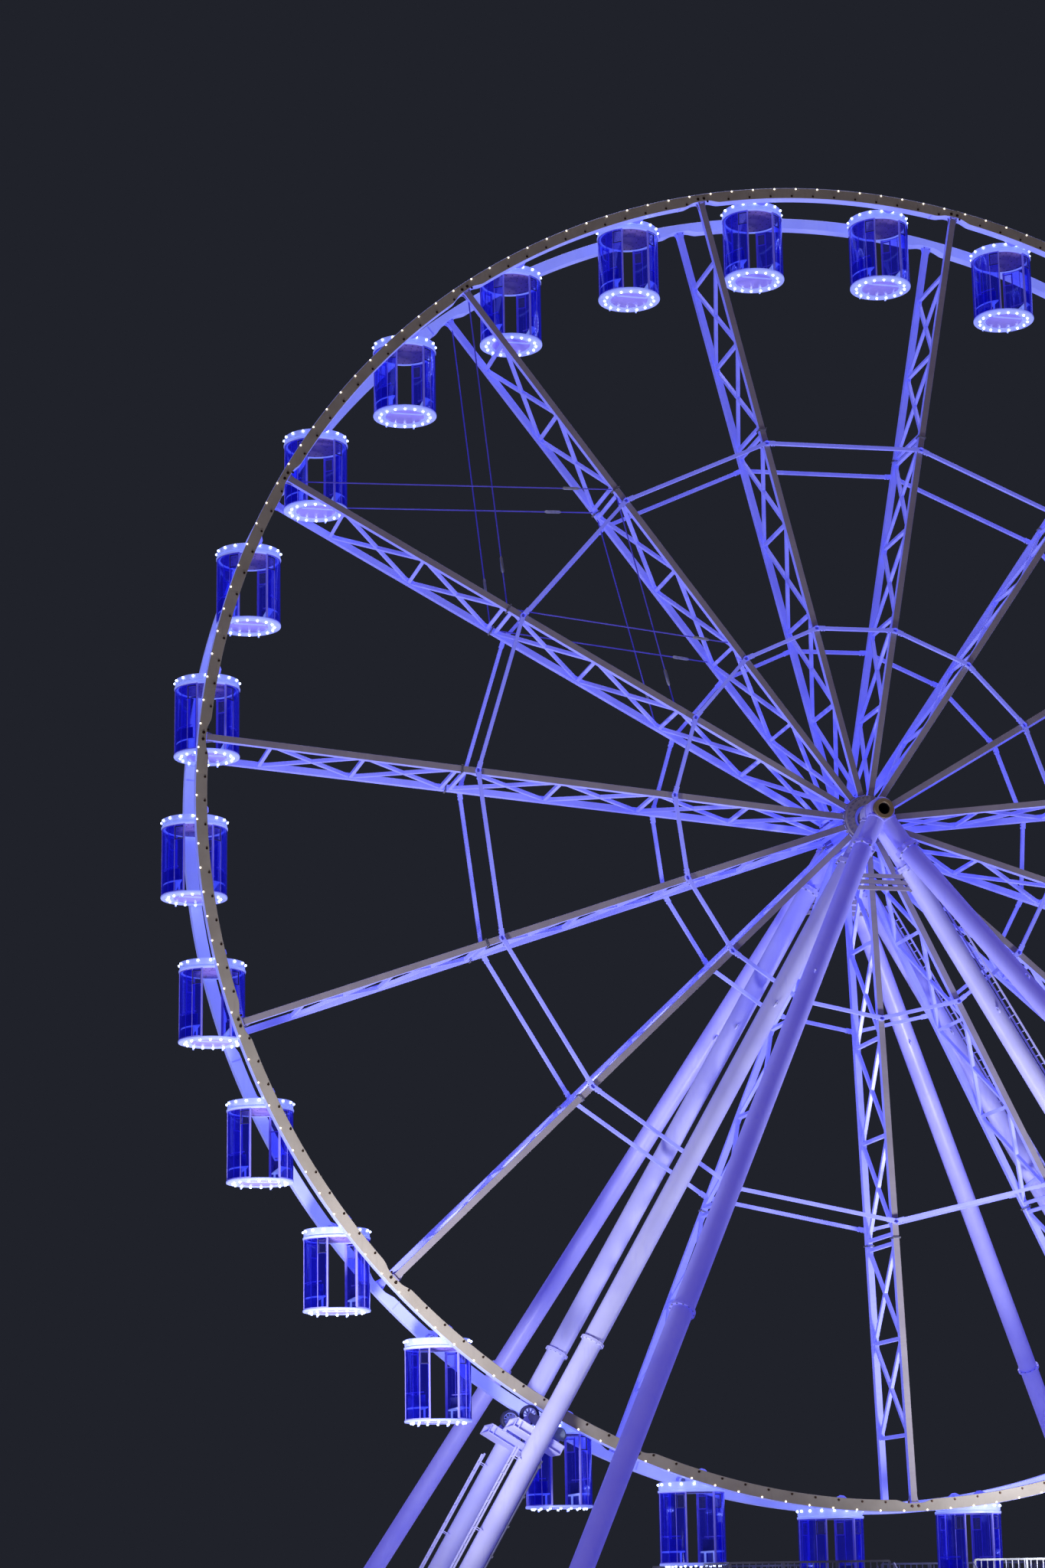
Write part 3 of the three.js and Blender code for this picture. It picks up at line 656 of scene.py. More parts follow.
    def mesh(self, name: str, finishes: tuple[Finish, ...], smooth: float = 32.0) -> bpy.types.Mesh:
        """Makes the mesh, with its faces turned outwards and its creases sharp.

        Args:
            name: Name of the mesh.
            finishes: The finishes that the faces' marks count through.
            smooth: Angle in degrees below which a crease is shaded smooth.

        Returns:
            The new mesh.
        """
        made = bpy.data.meshes.new(name)
        made.from_pydata([tuple(p) for p in self.points], [], self.faces)
        made.polygons.foreach_set("material_index", self.marks)
        for finish in finishes:
            made.materials.append(finish.material())
        work = bmesh.new()
        work.from_mesh(made)
        bmesh.ops.recalc_face_normals(work, faces=work.faces)
        for face in work.faces:
            face.smooth = True
        for edge in work.edges:
            edge.smooth = edge.is_manifold and edge.calc_face_angle(math.pi) < math.radians(smooth)
        work.to_mesh(made)
        work.free()
        return made


def place_piece(name: str, mesh: bpy.types.Mesh, body: str, replaces: tuple[str, ...] = (),
                place: Matrix | None = None, bevel: float = 0.0) -> bpy.types.Object:
    """Puts a mesh in the scene as a named piece that rides on a body.

    Args:
        name: Name of the piece.
        mesh: Its mesh.
        body: The CAD body that it moves with.
        replaces: CAD nodes that it stands for.
        place: Where it goes; the mesh's own place if left out.
        bevel: Width of the bevel on its sharp edges, in metres; none if zero.

    Returns:
        The new object.
    """
    piece = bpy.data.objects.new(name, mesh)
    bpy.context.scene.collection.objects.link(piece)
    if place:
        piece.matrix_world = place
    if bevel:
        edge = piece.modifiers.new("edge radius", "BEVEL")
        edge.width = bevel
        edge.segments = 1
        edge.limit_method = "ANGLE"
        edge.angle_limit = math.radians(40)
    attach(piece, body)
    if replaces:
        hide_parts(*replaces)
    LOG.info("%s on %s: %d faces", name, body, len(mesh.polygons))
    return piece


@dataclass
class Rims:
    """The two box-section rims with their lamps, bolts, splices and cabin bearings."""

    outer: float = 11.016
    inner: float = 10.835
    near: float = 0.55
    far: float = 0.73
    step: float = 0.052
    step_start: float = 0.55
    step_end: float = 1.75
    lamp_pitch: float = 2.0
    lamp_radius: float = 0.0135
    bolt_size: float = 0.028
    bolt_radius: float = 10.872
    bolt_start: float = 1.45
    bolt_pitch: float = 2.0
    joint_bolt_radius: float = 10.935
    joint_bolt_turn: float = 0.28
    splice_angle: float = 2.1
    bearing_angles: tuple[float, float] = (CABIN_ANGLE / 2, CABIN_ANGLE * 1.5)

    def inner_radius(self, degrees: float) -> float:
        """Inner radius of the rim at an angle measured from the nearest spoke."""
        ramp = min(max((self.step_end - abs(degrees)) / (self.step_end - self.step_start), 0.0), 1.0)
        return self.inner + self.step * (0.5 - 0.5 * math.cos(math.pi * ramp))

    def ring(self, end: End) -> Shape:
        """The box-section ring; its outer face has mark 1 at the front, the cream of painted warm light.

        Args:
            end: Front or rear.

        Returns:
            The shape.
        """
        shape = Shape()
        y_near, y_far = end.value * self.near, end.value * self.far
        tapers = [self.step_start + (self.step_end - self.step_start) * k / 6 for k in range(7)]
        whole_degrees = {float(i) for i in range(2, 23)}
        offsets = sorted({0.0} | whole_degrees | set(tapers) | {BAY_ANGLE - t for t in tapers})
        stations = [(spoke_angle(bay) + offset, min(offset, BAY_ANGLE - offset))
                    for bay in range(BAYS) for offset in offsets]
        points = []
        for angle, away in stations:
            inner = self.inner_radius(away)
            points += [wheel_point(inner, angle, y_near), wheel_point(self.outer, angle, y_near),
                       wheel_point(self.outer, angle, y_far), wheel_point(inner, angle, y_far)]
        count = len(stations)
        for side in range(4):
            faces = []
            for i in range(count):
                j = (i + 1) % count
                faces.append((4 * i + side, 4 * i + (side + 1) % 4, 4 * j + (side + 1) % 4, 4 * j + side))
            shape.faces.extend(faces)
            # The front rim's outer face takes mark 1: painted warm light instead of the blue glow.
            shape.marks.extend([1 if side == 2 and end is End.FRONT else 0] * count)
        shape.points = points
        return shape

    def lamps(self, end: End) -> Shape:
        """The row of lamp caps near the outer edge of the rim's outer face.

        Args:
            end: Front or rear.

        Returns:
            The shape.
        """
        shape = Shape()
        r = self.lamp_radius
        profile = [(r, -0.004), (r, r * 0.35), (r * 0.72, r * 0.85), (0.0, r * 1.1)]
        for k in range(round(360 / self.lamp_pitch)):
            place = wheel_point(LIGHT_RADIUS, SPOKE_PHASE + (k + 0.5) * self.lamp_pitch, end.value * self.far)
            shape.turned(profile, place, end.out, 10)
        return shape

    def fasteners(self, end: End) -> Shape:
        """Bolts along the inner half of the rim's outer face, with two larger ones at each spoke.

        Args:
            end: Front or rear.

        Returns:
            The shape.
        """
        shape = Shape()
        y = end.value * self.far
        for bay in range(BAYS):
            spoke = spoke_angle(bay)
            for k in range(int(BAY_ANGLE / self.bolt_pitch)):
                angle = spoke + self.bolt_start + k * self.bolt_pitch
                shape.bolt(wheel_point(self.bolt_radius, angle, y), end.out, self.bolt_size)
            for side in (-1, 1):
                angle = spoke + side * self.joint_bolt_turn
                shape.bolt(wheel_point(self.joint_bolt_radius, angle, y), end.out, self.bolt_size * 1.3)
        return shape

    def fittings(self, end: End) -> Shape:
        """Splice plates at the spokes and cabin bearings with their brackets.

        Args:
            end: Front or rear.

        Returns:
            The shape.
        """
        shape = Shape()
        inside = -Y_AXIS * end.value
        y = end.value * self.near
        for bay in range(BAYS):
            spoke = spoke_angle(bay)
            self.splice(shape, end, spoke + self.splice_angle)
            for turn in self.bearing_angles:
                self.bearing(shape, y, inside, spoke + turn)
        return shape

    def splice(self, shape: Shape, end: End, degrees: float) -> None:
        """A butt joint of two rim segments: a thin cover strip round the inner sides.

        Args:
            shape: The shape that takes it.
            end: Front or rear.
            degrees: Angle on the wheel.
        """
        low, high = end.value * (self.near - 0.003), end.value * (self.far - 0.03)
        across = wheel_point(1.0, degrees + 90, 0) - wheel_point(0.0, 0, 0)
        middle = [wheel_point(self.inner - 0.003, degrees, y) for y in (low, high)]
        outer = [wheel_point(self.outer - 0.02, degrees, y) for y in (high, low)]
        shape.plate(middle + outer, across, 0.024)

    def bearing(self, shape: Shape, y: float, inside: Vector, degrees: float) -> None:
        """A round flanged bearing with a triangular bracket that carries a cabin's pin.

        Args:
            shape: The shape that takes it.
            y: Place of the rim's inner face along the axle.
            inside: Direction towards the cabin.
            degrees: Angle on the wheel.
        """
        centre = wheel_point(PIVOT_RADIUS, degrees, y)
        shape.turned([(0.086, -0.004), (0.086, 0.010), (0.066, 0.016), (0.058, 0.026), (0.044, 0.030),
                      (0.044, 0.034), (0.0, 0.034)], centre, inside, 24)
        shape.bolt_circle(centre + inside * 0.010, inside, 0.075, 6, 0.016, 1)
        radial = wheel_point(1.0, degrees, 0) - wheel_point(0.0, 0, 0)
        across = radial.cross(Y_AXIS)
        foot = centre - radial * 0.088
        outline = [foot + across * 0.11, foot - across * 0.11, foot - radial * 0.05 - across * 0.03,
                   foot - radial * 0.05 + across * 0.03]
        shape.prism([p - inside * 0.004 for p in outline], inside * 0.014)

    def build(self) -> None:
        """Makes and places the rims and what is on them."""
        for end in End:
            name = f"{end.label}_rim"
            box = self.ring(end).mesh(name, (RIM_COAT, CREAM_COAT))
            place_piece(f"{name}_box", box, "wheel", (name,), bevel=0.004)
            lamps = self.lamps(end).mesh(f"{name}_lamps", (RIM_LAMP,), 60)
            place_piece(f"{name}_lamps", lamps, "wheel")
            bolts = self.fasteners(end).mesh(f"{name}_bolts", (BLACK_OXIDE,))
            place_piece(f"{name}_bolts", bolts, "wheel")
            fittings = self.fittings(end).mesh(f"{name}_fittings", (LILAC_COAT, GALVANISED))
            place_piece(f"{name}_fittings", fittings, "wheel")


@dataclass
class Spokes:
    """Ladder-truss spokes with two square chords, rungs and crossed lacing, bolted in two lengths."""

    root: float = 0.4
    tip: float = 10.884
    chord: float = 0.1
    offset_root: float = 0.578
    offset_tip: float = 0.650
    offset_tip_radius: float = 10.835
    front_from: float = 0.55
    lace: float = 0.056
    seat: float = 0.004
    plate: float = 0.014
    joint_rungs: tuple[float, float] = (0.6105 * LIGHT_RADIUS, 0.624 * LIGHT_RADIUS)
    first_rung: float = 0.895 * LIGHT_RADIUS
    inner_panels: int = 4
    outer_panels: int = 2

    def offset(self, radius: float) -> float:
        """Distance of a chord's middle from the middle of the wheel."""
        share = (radius - self.root) / (self.offset_tip_radius - self.root)
        return self.offset_root + share * (self.offset_tip - self.offset_root)

    def at(self, radius: float, side: int, shift: float = 0.0) -> Vector:
        """A point on a chord's middle line, in the spoke's own frame with +X outwards."""
        return Vector((radius, side * (self.offset(radius) + shift), 0.0))

    def rungs(self) -> list[list[float]]:
        """Radii of the rungs, one list for each length of the spoke.

        Returns:
            The radii of each length.
        """
        low, (joint_in, joint_out) = self.root + 0.025, self.joint_rungs
        spans = ((low, joint_in, self.inner_panels), (joint_out, self.first_rung, self.outer_panels))
        return [[a + (b - a) * i / n for i in range(n + 1)] for a, b, n in spans]

    def truss(self) -> Shape:
        """The whole spoke; mark 2 is the bolts, mark 3 the flanges of the joint.

        Returns:
            The shape.
        """
        shape = Shape()
        for side in (-1, 1):
            shape.bar(self.at(self.root, side), self.at(self.tip, side), self.chord)
            self.end_plates(shape, side)
            self.joint(shape, side)
        inner_face = -self.chord / 2 + self.seat
        for run in self.rungs():
            for radius in run:
                shape.bar(self.at(radius, -1, inner_face), self.at(radius, 1, inner_face), self.lace,
                          across=X_AXIS)
            for low, high in zip(run, run[1:]):
                gap = self.lace / 2 + 0.012
                for first, second, depth in ((-1, 1, self.lace), (1, -1, self.lace - 0.004)):
                    shape.bar(self.at(low + gap, first, inner_face), self.at(high - gap, second, inner_face),
                              self.lace, depth, X_AXIS)
        return shape

    def end_plates(self, shape: Shape, side: int) -> None:
        """Bolted plates at the hub and at the rim.

        Args:
            shape: The shape that takes it.
            side: -1 for the front chord, 1 for the rear one.
        """
        for radius, half in ((self.root, 0.062), (self.tip - self.plate, 0.066)):
            middle = self.at(radius, side)
            shape.bar(middle, middle + X_AXIS * self.plate, half * 2.3, half * 2)
            at_hub = radius == self.root
            for dy, dz in CORNERS:
                corner = middle + Vector((0, dy * half * 0.92, dz * half * 0.72))
                start = corner + X_AXIS * (self.plate if at_hub else 0)
                shape.bolt(start, X_AXIS if at_hub else -X_AXIS, 0.018, 2)
        for dz in (-1, 1):
            z = dz * (self.chord / 2 - self.seat)
            tip = self.at(self.tip, side) + Vector((0, 0, z))
            shape.plate([tip, tip - X_AXIS * 0.16, tip + Vector((0, 0, dz * 0.045))], Y_AXIS, 0.01)

    def joint(self, shape: Shape, side: int) -> None:
        """The bolted flange joint between the two lengths of a chord.

        Args:
            shape: The shape that takes it.
            side: -1 for the front chord, 1 for the rear one.
        """
        middle = self.at(sum(self.joint_rungs) / 2, side)
        flange = 0.138
        bolt_place = 0.0585
        for shift in (-0.013, 0.001):
            start = middle + X_AXIS * shift
            shape.bar(start, start + X_AXIS * 0.012, flange, flange, mark=3)
        for dy, dz in CORNERS:
            corner = Vector((0, dy * bolt_place, dz * bolt_place))
            for out in (-1, 1):
                shape.bolt(middle + corner + X_AXIS * (0.013 * out), X_AXIS * out, 0.015, 2)

    def mesh(self) -> bpy.types.Mesh:
        """The truss as a mesh, its foremost chord faces in the stone coat as painted light from the front.

        Returns:
            The mesh.
        """
        made = self.truss().mesh("spoke_truss", (LILAC_COAT, STONE_COAT, BLACK_OXIDE, GALVANISED))
        for face in made.polygons:
            # Chord faces looking to the front take painted light: the stone coat for the warm front light,
            # without the blue glow.
            faces_front = face.normal.y < -0.95 and face.center.y < -self.front_from
            if face.material_index == 0 and faces_front:
                face.material_index = 1
        return made

    def build(self) -> None:
        """Makes the fifteen spokes from one mesh."""
        mesh = self.mesh()
        for i in range(BAYS):
            place_piece(f"spoke_{i + 1:02d}_truss", mesh, "wheel", (f"spoke_{i + 1:02d}",),
                        wheel_turn(spoke_angle(i)), bevel=0.004)


@dataclass
class Hoops:
    """Square tie bars between the spokes at two radii, bolted to lugs on the chords, front and rear."""

    spokes: Spokes
    radii: dict[str, float] = field(default_factory=lambda: {
        "outer_hoop": 0.594 * LIGHT_RADIUS, "inner_hoop": 0.2985 * LIGHT_RADIUS})
    width: float = 0.056
    lug: float = 0.012
    lug_length: float = 0.14
    lug_gap: float = 0.026
    lug_bolts: tuple[float, float] = (0.06, 0.11)

    def hoop(self, radius: float) -> Shape:
        """All bars of one hoop with their lugs; mark 2 is the bolts.

        Args:
            radius: Radius at which the bars meet the spokes.

        Returns:
            The shape.
        """
        shape = Shape()
        for end in End:
            y = end.value * (self.spokes.offset(radius) + self.spokes.chord / 2 + 0.0305)
            for i in range(BAYS):
                here, there = (wheel_point(radius, spoke_angle(k), y) for k in (i, i + 1))
                along = (there - here).normalized()
                shape.bar(here + along * 0.035, there - along * 0.035, self.width)
                for place, way in ((here, along), (there, -along)):
                    self.lug_pair(shape, place, way, end.out)
        return shape

    def lug_pair(self, shape: Shape, place: Vector, way: Vector, out: Vector) -> None:
        """The two bolted lugs that hold a bar's end on its chord.

        Args:
            shape: The shape that takes them.
            place: The end of the bar's middle line.
            way: Direction from there along the bar.
            out: Direction away from the middle of the wheel.
        """
        start = place + way * 0.004 - out * 0.03
        acrosses = [Vector((-way.z, 0, way.x)) * side for side in (-1, 1)]
        for across in acrosses:
            near, far = start - way * 0.03, start + way * self.lug_length
            outline = [near, far, far + out * self.width, near + out * self.width]
            shape.prism([p + across * self.lug_gap for p in outline], across * self.lug)
        for shift in self.lug_bolts:
            for across in acrosses:
                centre = place + way * shift - out * 0.002 + across * (self.lug_gap + self.lug)
                shape.bolt(centre, across, 0.016, 2)

    def build(self) -> None:
        """Makes the outer and the inner hoop."""
        for name, radius in self.radii.items():
            mesh = self.hoop(radius).mesh(f"{name}_bars", (LILAC_COAT, STONE_COAT, BLACK_OXIDE))
            place_piece(f"{name}_bars", mesh, "wheel", (name,), bevel=0.003)


@dataclass
class Braces:
    """Thin crossed rods in the bay between the third and the fourth spoke, front and rear."""

    spokes: Spokes
    bay: int = 2
    radius: float = 0.011
    rim_radius: float = 10.80
    outer_node: float = 0.618 * LIGHT_RADIUS
    inner_node: float = 0.33 * LIGHT_RADIUS
    lift: float = 0.012
    turnbuckle_share: float = 0.86

    def rods(self) -> Shape:
        """The rods with a turnbuckle on each; mark 1 is the turnbuckles' metal.

        Returns:
            The shape.
        """
        shape = Shape()
        first, second = spoke_angle(self.bay), spoke_angle(self.bay + 1)
        spans = ((self.rim_radius, self.outer_node), (self.outer_node, self.inner_node))
        for end in End:
            for outer, inner in spans:
                for a, b in ((first, second), (second, first)):
                    lift = self.lift if a == first else -self.lift
                    y_outer = end.value * (self.spokes.offset(outer) - 0.02) + lift
                    y_inner = end.value * (self.spokes.offset(inner) - 0.02) + lift
                    start, finish = wheel_point(outer, a, y_outer), wheel_point(inner, b, y_inner)
                    along = (finish - start).normalized()
                    shape.tube(start + along * 0.05, finish - along * 0.05, self.radius, 8)
                    middle = start.lerp(finish, self.turnbuckle_share)
                    shape.turned([(0.012, -0.14), (0.026, -0.11), (0.026, 0.11), (0.012, 0.14)],
                                 middle, along, 8, 1)
        return shape

    def build(self) -> None:
        """Makes the rods."""
        mesh = self.rods().mesh("brace_rods", (ROD_COAT, GALVANISED))
        place_piece("brace_rods", mesh, "wheel")


@dataclass
class Hub:
    """The rotating hub: a drum, two bolted ring flanges with ribs, and cones towards the axle."""

    flange_radius: float = 0.3995
    flange_bore: float = 0.235
    inner_face: float = 0.523
    outer_face: float = 0.70
    drum: float = 0.26
    bore: float = 0.171
    bolt_rows: tuple[tuple[float, int, float], ...] = ((0.352, 30, 0.020), (0.272, 15, 0.018))

    def body(self) -> Shape:
        """Drum, flanges, ribs and bolts; mark 1 is the coat of the ring flanges, mark 2 the bolts.

        Returns:
            The shape.
        """
        shape = Shape()
        centre = Vector((0, 0, HUB_HEIGHT))
        near, far = self.inner_face, self.outer_face
        rim, hole = self.flange_radius, self.flange_bore
        shape.ring([(self.bore, -near), (self.drum, -near), (self.drum, near), (self.bore, near)],
                   centre, Y_AXIS, 60)
        for end in End:
            out = end.out
            shape.ring([(hole, near), (rim, near), (rim, near + 0.11), (rim - 0.012, near + 0.12),
                        (rim - 0.012, far - 0.006), (rim - 0.018, far), (hole + 0.012, far),
                        (hole, far - 0.012)], centre, out, 60, 1)
            shape.ring([(self.bore, near - 0.02), (hole + 0.01, near - 0.02), (hole + 0.01, near + 0.03),
                        (self.bore + 0.03, near + 0.10), (self.bore, near + 0.10)], centre, out, 48)
            for radius, count, size in self.bolt_rows:
                shape.bolt_circle(centre + out * far, out, radius, count, size, 2)
            for i in range(BAYS):
                angle = spoke_angle(i) + CABIN_ANGLE
                low = wheel_point(self.drum - 0.01, angle, end.value * (near + 0.002))
                high = wheel_point(self.flange_radius - 0.03, angle, end.value * (near + 0.002))
                back = wheel_point(self.drum - 0.01, angle, end.value * (near - 0.16))
                shape.plate([low, high, back], (high - low).normalized().cross(Y_AXIS), 0.012)
        return shape

    def build(self) -> None:
        """Makes the hub."""
        mesh = self.body().mesh("hub_body", (LILAC_COAT, STONE_COAT, GALVANISED))
        place_piece("hub_body", mesh, "wheel", ("hub",))


@dataclass
class Cabin:
    """A round glass cabin about its pivot, with open doorways to the front and the rear."""

    radius: float = 0.510
    ring: float = 0.520
    top: float = -0.050
    roof_bottom: float = -0.205
    floor_top: float = -1.265
    bottom: float = -1.305
    door_angle: float = 26.5
    glass: float = 0.008
    vent_edge: float = 45.0
    vent: tuple[float, float] = (-0.44, -0.245)
    lamp_count: int = 16
    lamp: float = 0.019
    seat_height: float = 0.19
    seat_edge: float = 0.245
    back_rest: float = 0.17
    hole_rows: tuple[tuple[int, float, float], ...] = (
        (24, 0.40, 0.011), (16, 0.29, 0.009), (8, 0.19, 0.009))
    leaf_inset: float = 0.022
    leaf_glass: float = 0.006
    leaf_start: float = 3.4
    leaf_sweep: float = 34.0
    leaf_stiles: tuple[tuple[float, float, float], ...] = ((3.0, 0.008, 0.012), (37.0, 0.006, 0.010))
    vent_posts: tuple[float, float] = (0.9, 17.4)
    strip_reach: float = 64.0
    rail_inset: float = 0.05
    rail_reach: float = 50.0
    rail_height: float = 0.40
    rail_radius: float = 0.009

    def arc(self, radius: float, start: float, end: float, steps: int, z: float) -> list[Vector]:
        """Points on a level arc; angles in degrees from +X towards +Y.

        Args:
            radius: Radius of the arc.
            start: Angle of the first point.
            end: Angle of the last point.
            steps: Number of steps between them.
            z: Height.

        Returns:
            The points in order.
        """
        points = []
        for i in range(steps + 1):
            angle = math.radians(start + (end - start) * i / steps)
            points.append(Vector((radius * math.cos(angle), radius * math.sin(angle), z)))
        return points

    def wall(self, shape: Shape, radius: float, thick: float, start: float, end: float, low: float,
             high: float, mark: int, steps: int) -> None:
        """Adds a piece of a round wall.

        Args:
            shape: The shape that takes it.
            radius: Outer radius.
            thick: Thickness.
            start: Angle of one edge.
            end: Angle of the other edge.
            low: Height of the foot.
            high: Height of the top.
            mark: Number of the finish.
            steps: Number of flats.
        """
        outer = self.arc(radius, start, end, steps, low)
        inner = self.arc(radius - thick, start, end, steps, low)
        shape_points = outer + inner + [p + Z_AXIS * (high - low) for p in outer + inner]
        n = steps + 1
        faces = [(0, n, 3 * n, 2 * n), (n - 1, 3 * n - 1, 4 * n - 1, 2 * n - 1)]
        for i in range(steps):
            faces += [(i, i + 1, 2 * n + i + 1, 2 * n + i), (n + i, 3 * n + i, 3 * n + i + 1, n + i + 1),
                      (i, n + i, n + i + 1, i + 1), (2 * n + i, 2 * n + i + 1, 3 * n + i + 1, 3 * n + i)]
        shape.add(shape_points, faces, mark)

    def post(self, shape: Shape, degrees: float, width: float, depth: float, radius: float) -> None:
        """Adds an upright profile between floor and roof.

        Args:
            shape: The shape that takes it.
            degrees: Angle from +X towards +Y.
            width: Size round the cabin.
            depth: Size towards its middle.
            radius: Distance from the middle.
        """
        angle = math.radians(degrees)
        foot = Vector((math.cos(angle), math.sin(angle), 0)) * radius
        shape.bar(foot + Z_AXIS * (self.floor_top - 0.004), foot + Z_AXIS * (self.roof_bottom + 0.004), width,
                  depth, Vector((-math.sin(angle), math.cos(angle), 0)))

    def roof(self) -> Shape:
        """Roof pan with an upper and a lower band, ceiling lining with its rows of holes drawn as dark discs
        of painted shade, and hangers.

        Returns:
            The shape.
        """
        shape = Shape()
        r, upper, top, low = self.ring, self.ring - 0.013, self.top, self.roof_bottom
        shape.turned([(0.0, top - 0.010), (0.2, top - 0.012), (0.4, top - 0.018), (r - 0.070, top - 0.014),
                      (r - 0.062, top - 0.002), (r - 0.052, top), (upper - 0.010, top),
                      (upper - 0.003, top - 0.004), (upper, top - 0.012), (upper, top - 0.100),
                      (upper - 0.004, top - 0.105), (upper - 0.012, top - 0.107),
                      (upper - 0.012, top - 0.115), (r - 0.006, top - 0.118), (r, top - 0.124),
                      (r, low + 0.010), (r - 0.004, low + 0.003), (r - 0.012, low), (r - 0.045, low),
                      (r - 0.050, low + 0.012), (0.0, low + 0.012)], Vector(), Z_AXIS, 64)
        lining = low + 0.014
        shape.turned([(0.0, lining), (0.452, lining), (0.452, lining - 0.008), (0.440, lining - 0.012),
                      (0.16, lining - 0.012), (0.15, lining - 0.02), (0.0, lining - 0.02)],
                     Vector(), Z_AXIS, 48, 1)
        # Each hole is a shallow dark disc in mark 2: painted shade where the perforation would be dark.
        for count, radius, size in self.hole_rows:
            hole = [(size, 0.0), (size, 0.003), (size * 0.6, 0.0015), (0.0, 0.0015)]
            for angle in around(count, 0.5):
                place = Vector((radius * math.cos(angle), radius * math.sin(angle), lining - 0.011))
                shape.turned(hole, place, -Z_AXIS, 8, 2)
        for side in (-1, 1):
            self.hanger(shape, Y_AXIS * side)
        return shape

    def hanger(self, shape: Shape, out: Vector) -> None:
        """A rounded bearing block on the roof with its pivot pin; mark 3 is the pin's metal.

        Args:
            shape: The shape that takes it.
            out: Direction away from the cabin's middle.
        """
        crown = [Vector((0.048 * math.cos(a), 0, 0.048 * math.sin(a)))
                 for a in (math.pi * k / 12 for k in range(13))]
        outline = [Vector((0.064, 0, self.top - 0.02))] + crown + [Vector((-0.064, 0, self.top - 0.02))]
        shape.prism([p + out * 0.432 for p in outline], out * 0.07)
        shape.turned([(0.036, 0.42), (0.036, 0.549), (0.0, 0.549)], Vector(), out, 20, 3)
        shape.turned([(0.046, 0.498), (0.046, 0.508), (0.041, 0.513), (0.0, 0.513)], Vector(), out, 24, 3)
        for x in (-0.05, 0.05):
            shape.bolt(Vector((x, 0, self.top - 0.004)) + out * 0.467, Z_AXIS, 0.016, 3)

    def floor(self) -> Shape:
        """Floor dish with a recessed disc beneath, its cross bar and two stub pins.

        Returns:
            The shape.
        """
        shape = Shape()
        r, low, high = self.ring, self.bottom, self.floor_top
        shape.turned([(0.0, high), (r - 0.03, high), (r - 0.008, high - 0.003), (r, high - 0.010),
                      (r, low + 0.014), (r - 0.005, low + 0.004), (r - 0.018, low + 0.001),
                      (0.345, low + 0.001), (0.335, low + 0.010), (0.0, low + 0.010)], Vector(), Z_AXIS, 64)
        shape.turned([(0.0, low + 0.011), (0.315, low + 0.011), (0.315, low + 0.005), (0.305, low + 0.001),
                      (0.0, low + 0.001)], Vector(), Z_AXIS, 48, 1)
        shape.box((-0.26, -0.20, low - 0.008), (0.26, -0.16, low + 0.004))
        stub = [(0.015, low + 0.012), (0.015, low - 0.034), (0.010, low - 0.040), (0.0, low - 0.040)]
        for x in (-0.23, 0.23):
            shape.turned(stub, Vector((x, 0.40, 0)), Z_AXIS, 12)
        mat = [(0.0, high + 0.004), (r - 0.07, high + 0.004), (r - 0.066, high - 0.002), (0.0, high - 0.002)]
        shape.turned(mat, Vector(), Z_AXIS, 48, 2)
        return shape

    def lamps(self) -> Shape:
        """Lamp caps round the roof's upper band and under the floor.

        Returns:
            The shape.
        """
        shape = Shape()
        s = self.lamp
        profile = [(s * 0.8, -0.006), (s, s * 0.35), (s * 0.9, s * 0.9), (s * 0.5, s * 1.3), (0.0, s * 1.42)]
        for angle in around(self.lamp_count, 0.5):
            way = Vector((math.cos(angle), math.sin(angle), 0))
            shape.turned(profile, way * (self.ring - 0.0135) + Z_AXIS * (self.top - 0.035), way, 10)
            shape.turned(profile, way * (self.ring * 0.8) + Z_AXIS * (self.bottom + 0.001), -Z_AXIS, 10)
        return shape

    def glazing(self) -> Shape:
        """The bent side panels, their vent panes and the slid-back door leaves; mark 1 is clear glass.

        Returns:
            The shape.
        """
        shape = Shape()
        low, high = self.floor_top - 0.002, self.roof_bottom + 0.002
        vent_low, vent_high = self.vent
        jamb = 90 - self.door_angle
        cuts = ((low, vent_low, 0), (vent_low + 0.002, vent_high, 1), (vent_high + 0.002, high, 0))
        for middle in (0.0, 180.0):
            self.wall(shape, self.radius, self.glass, middle - self.vent_edge, middle + self.vent_edge,
                      low, high, 0, 24)
            for side in (-1, 1):
                start, end = middle + side * (self.vent_edge + 0.25), middle + side * (jamb - 1.2)
                for bottom, top, mark in cuts:
                    self.wall(shape, self.radius, self.glass, start, end, bottom, top, mark, 6)
                edge = middle + side * (jamb - self.leaf_start)
                self.wall(shape, self.radius - self.leaf_inset, self.leaf_glass, edge,
                          edge - side * self.leaf_sweep, low + 0.02, high - 0.02, 1, 12)
        return shape

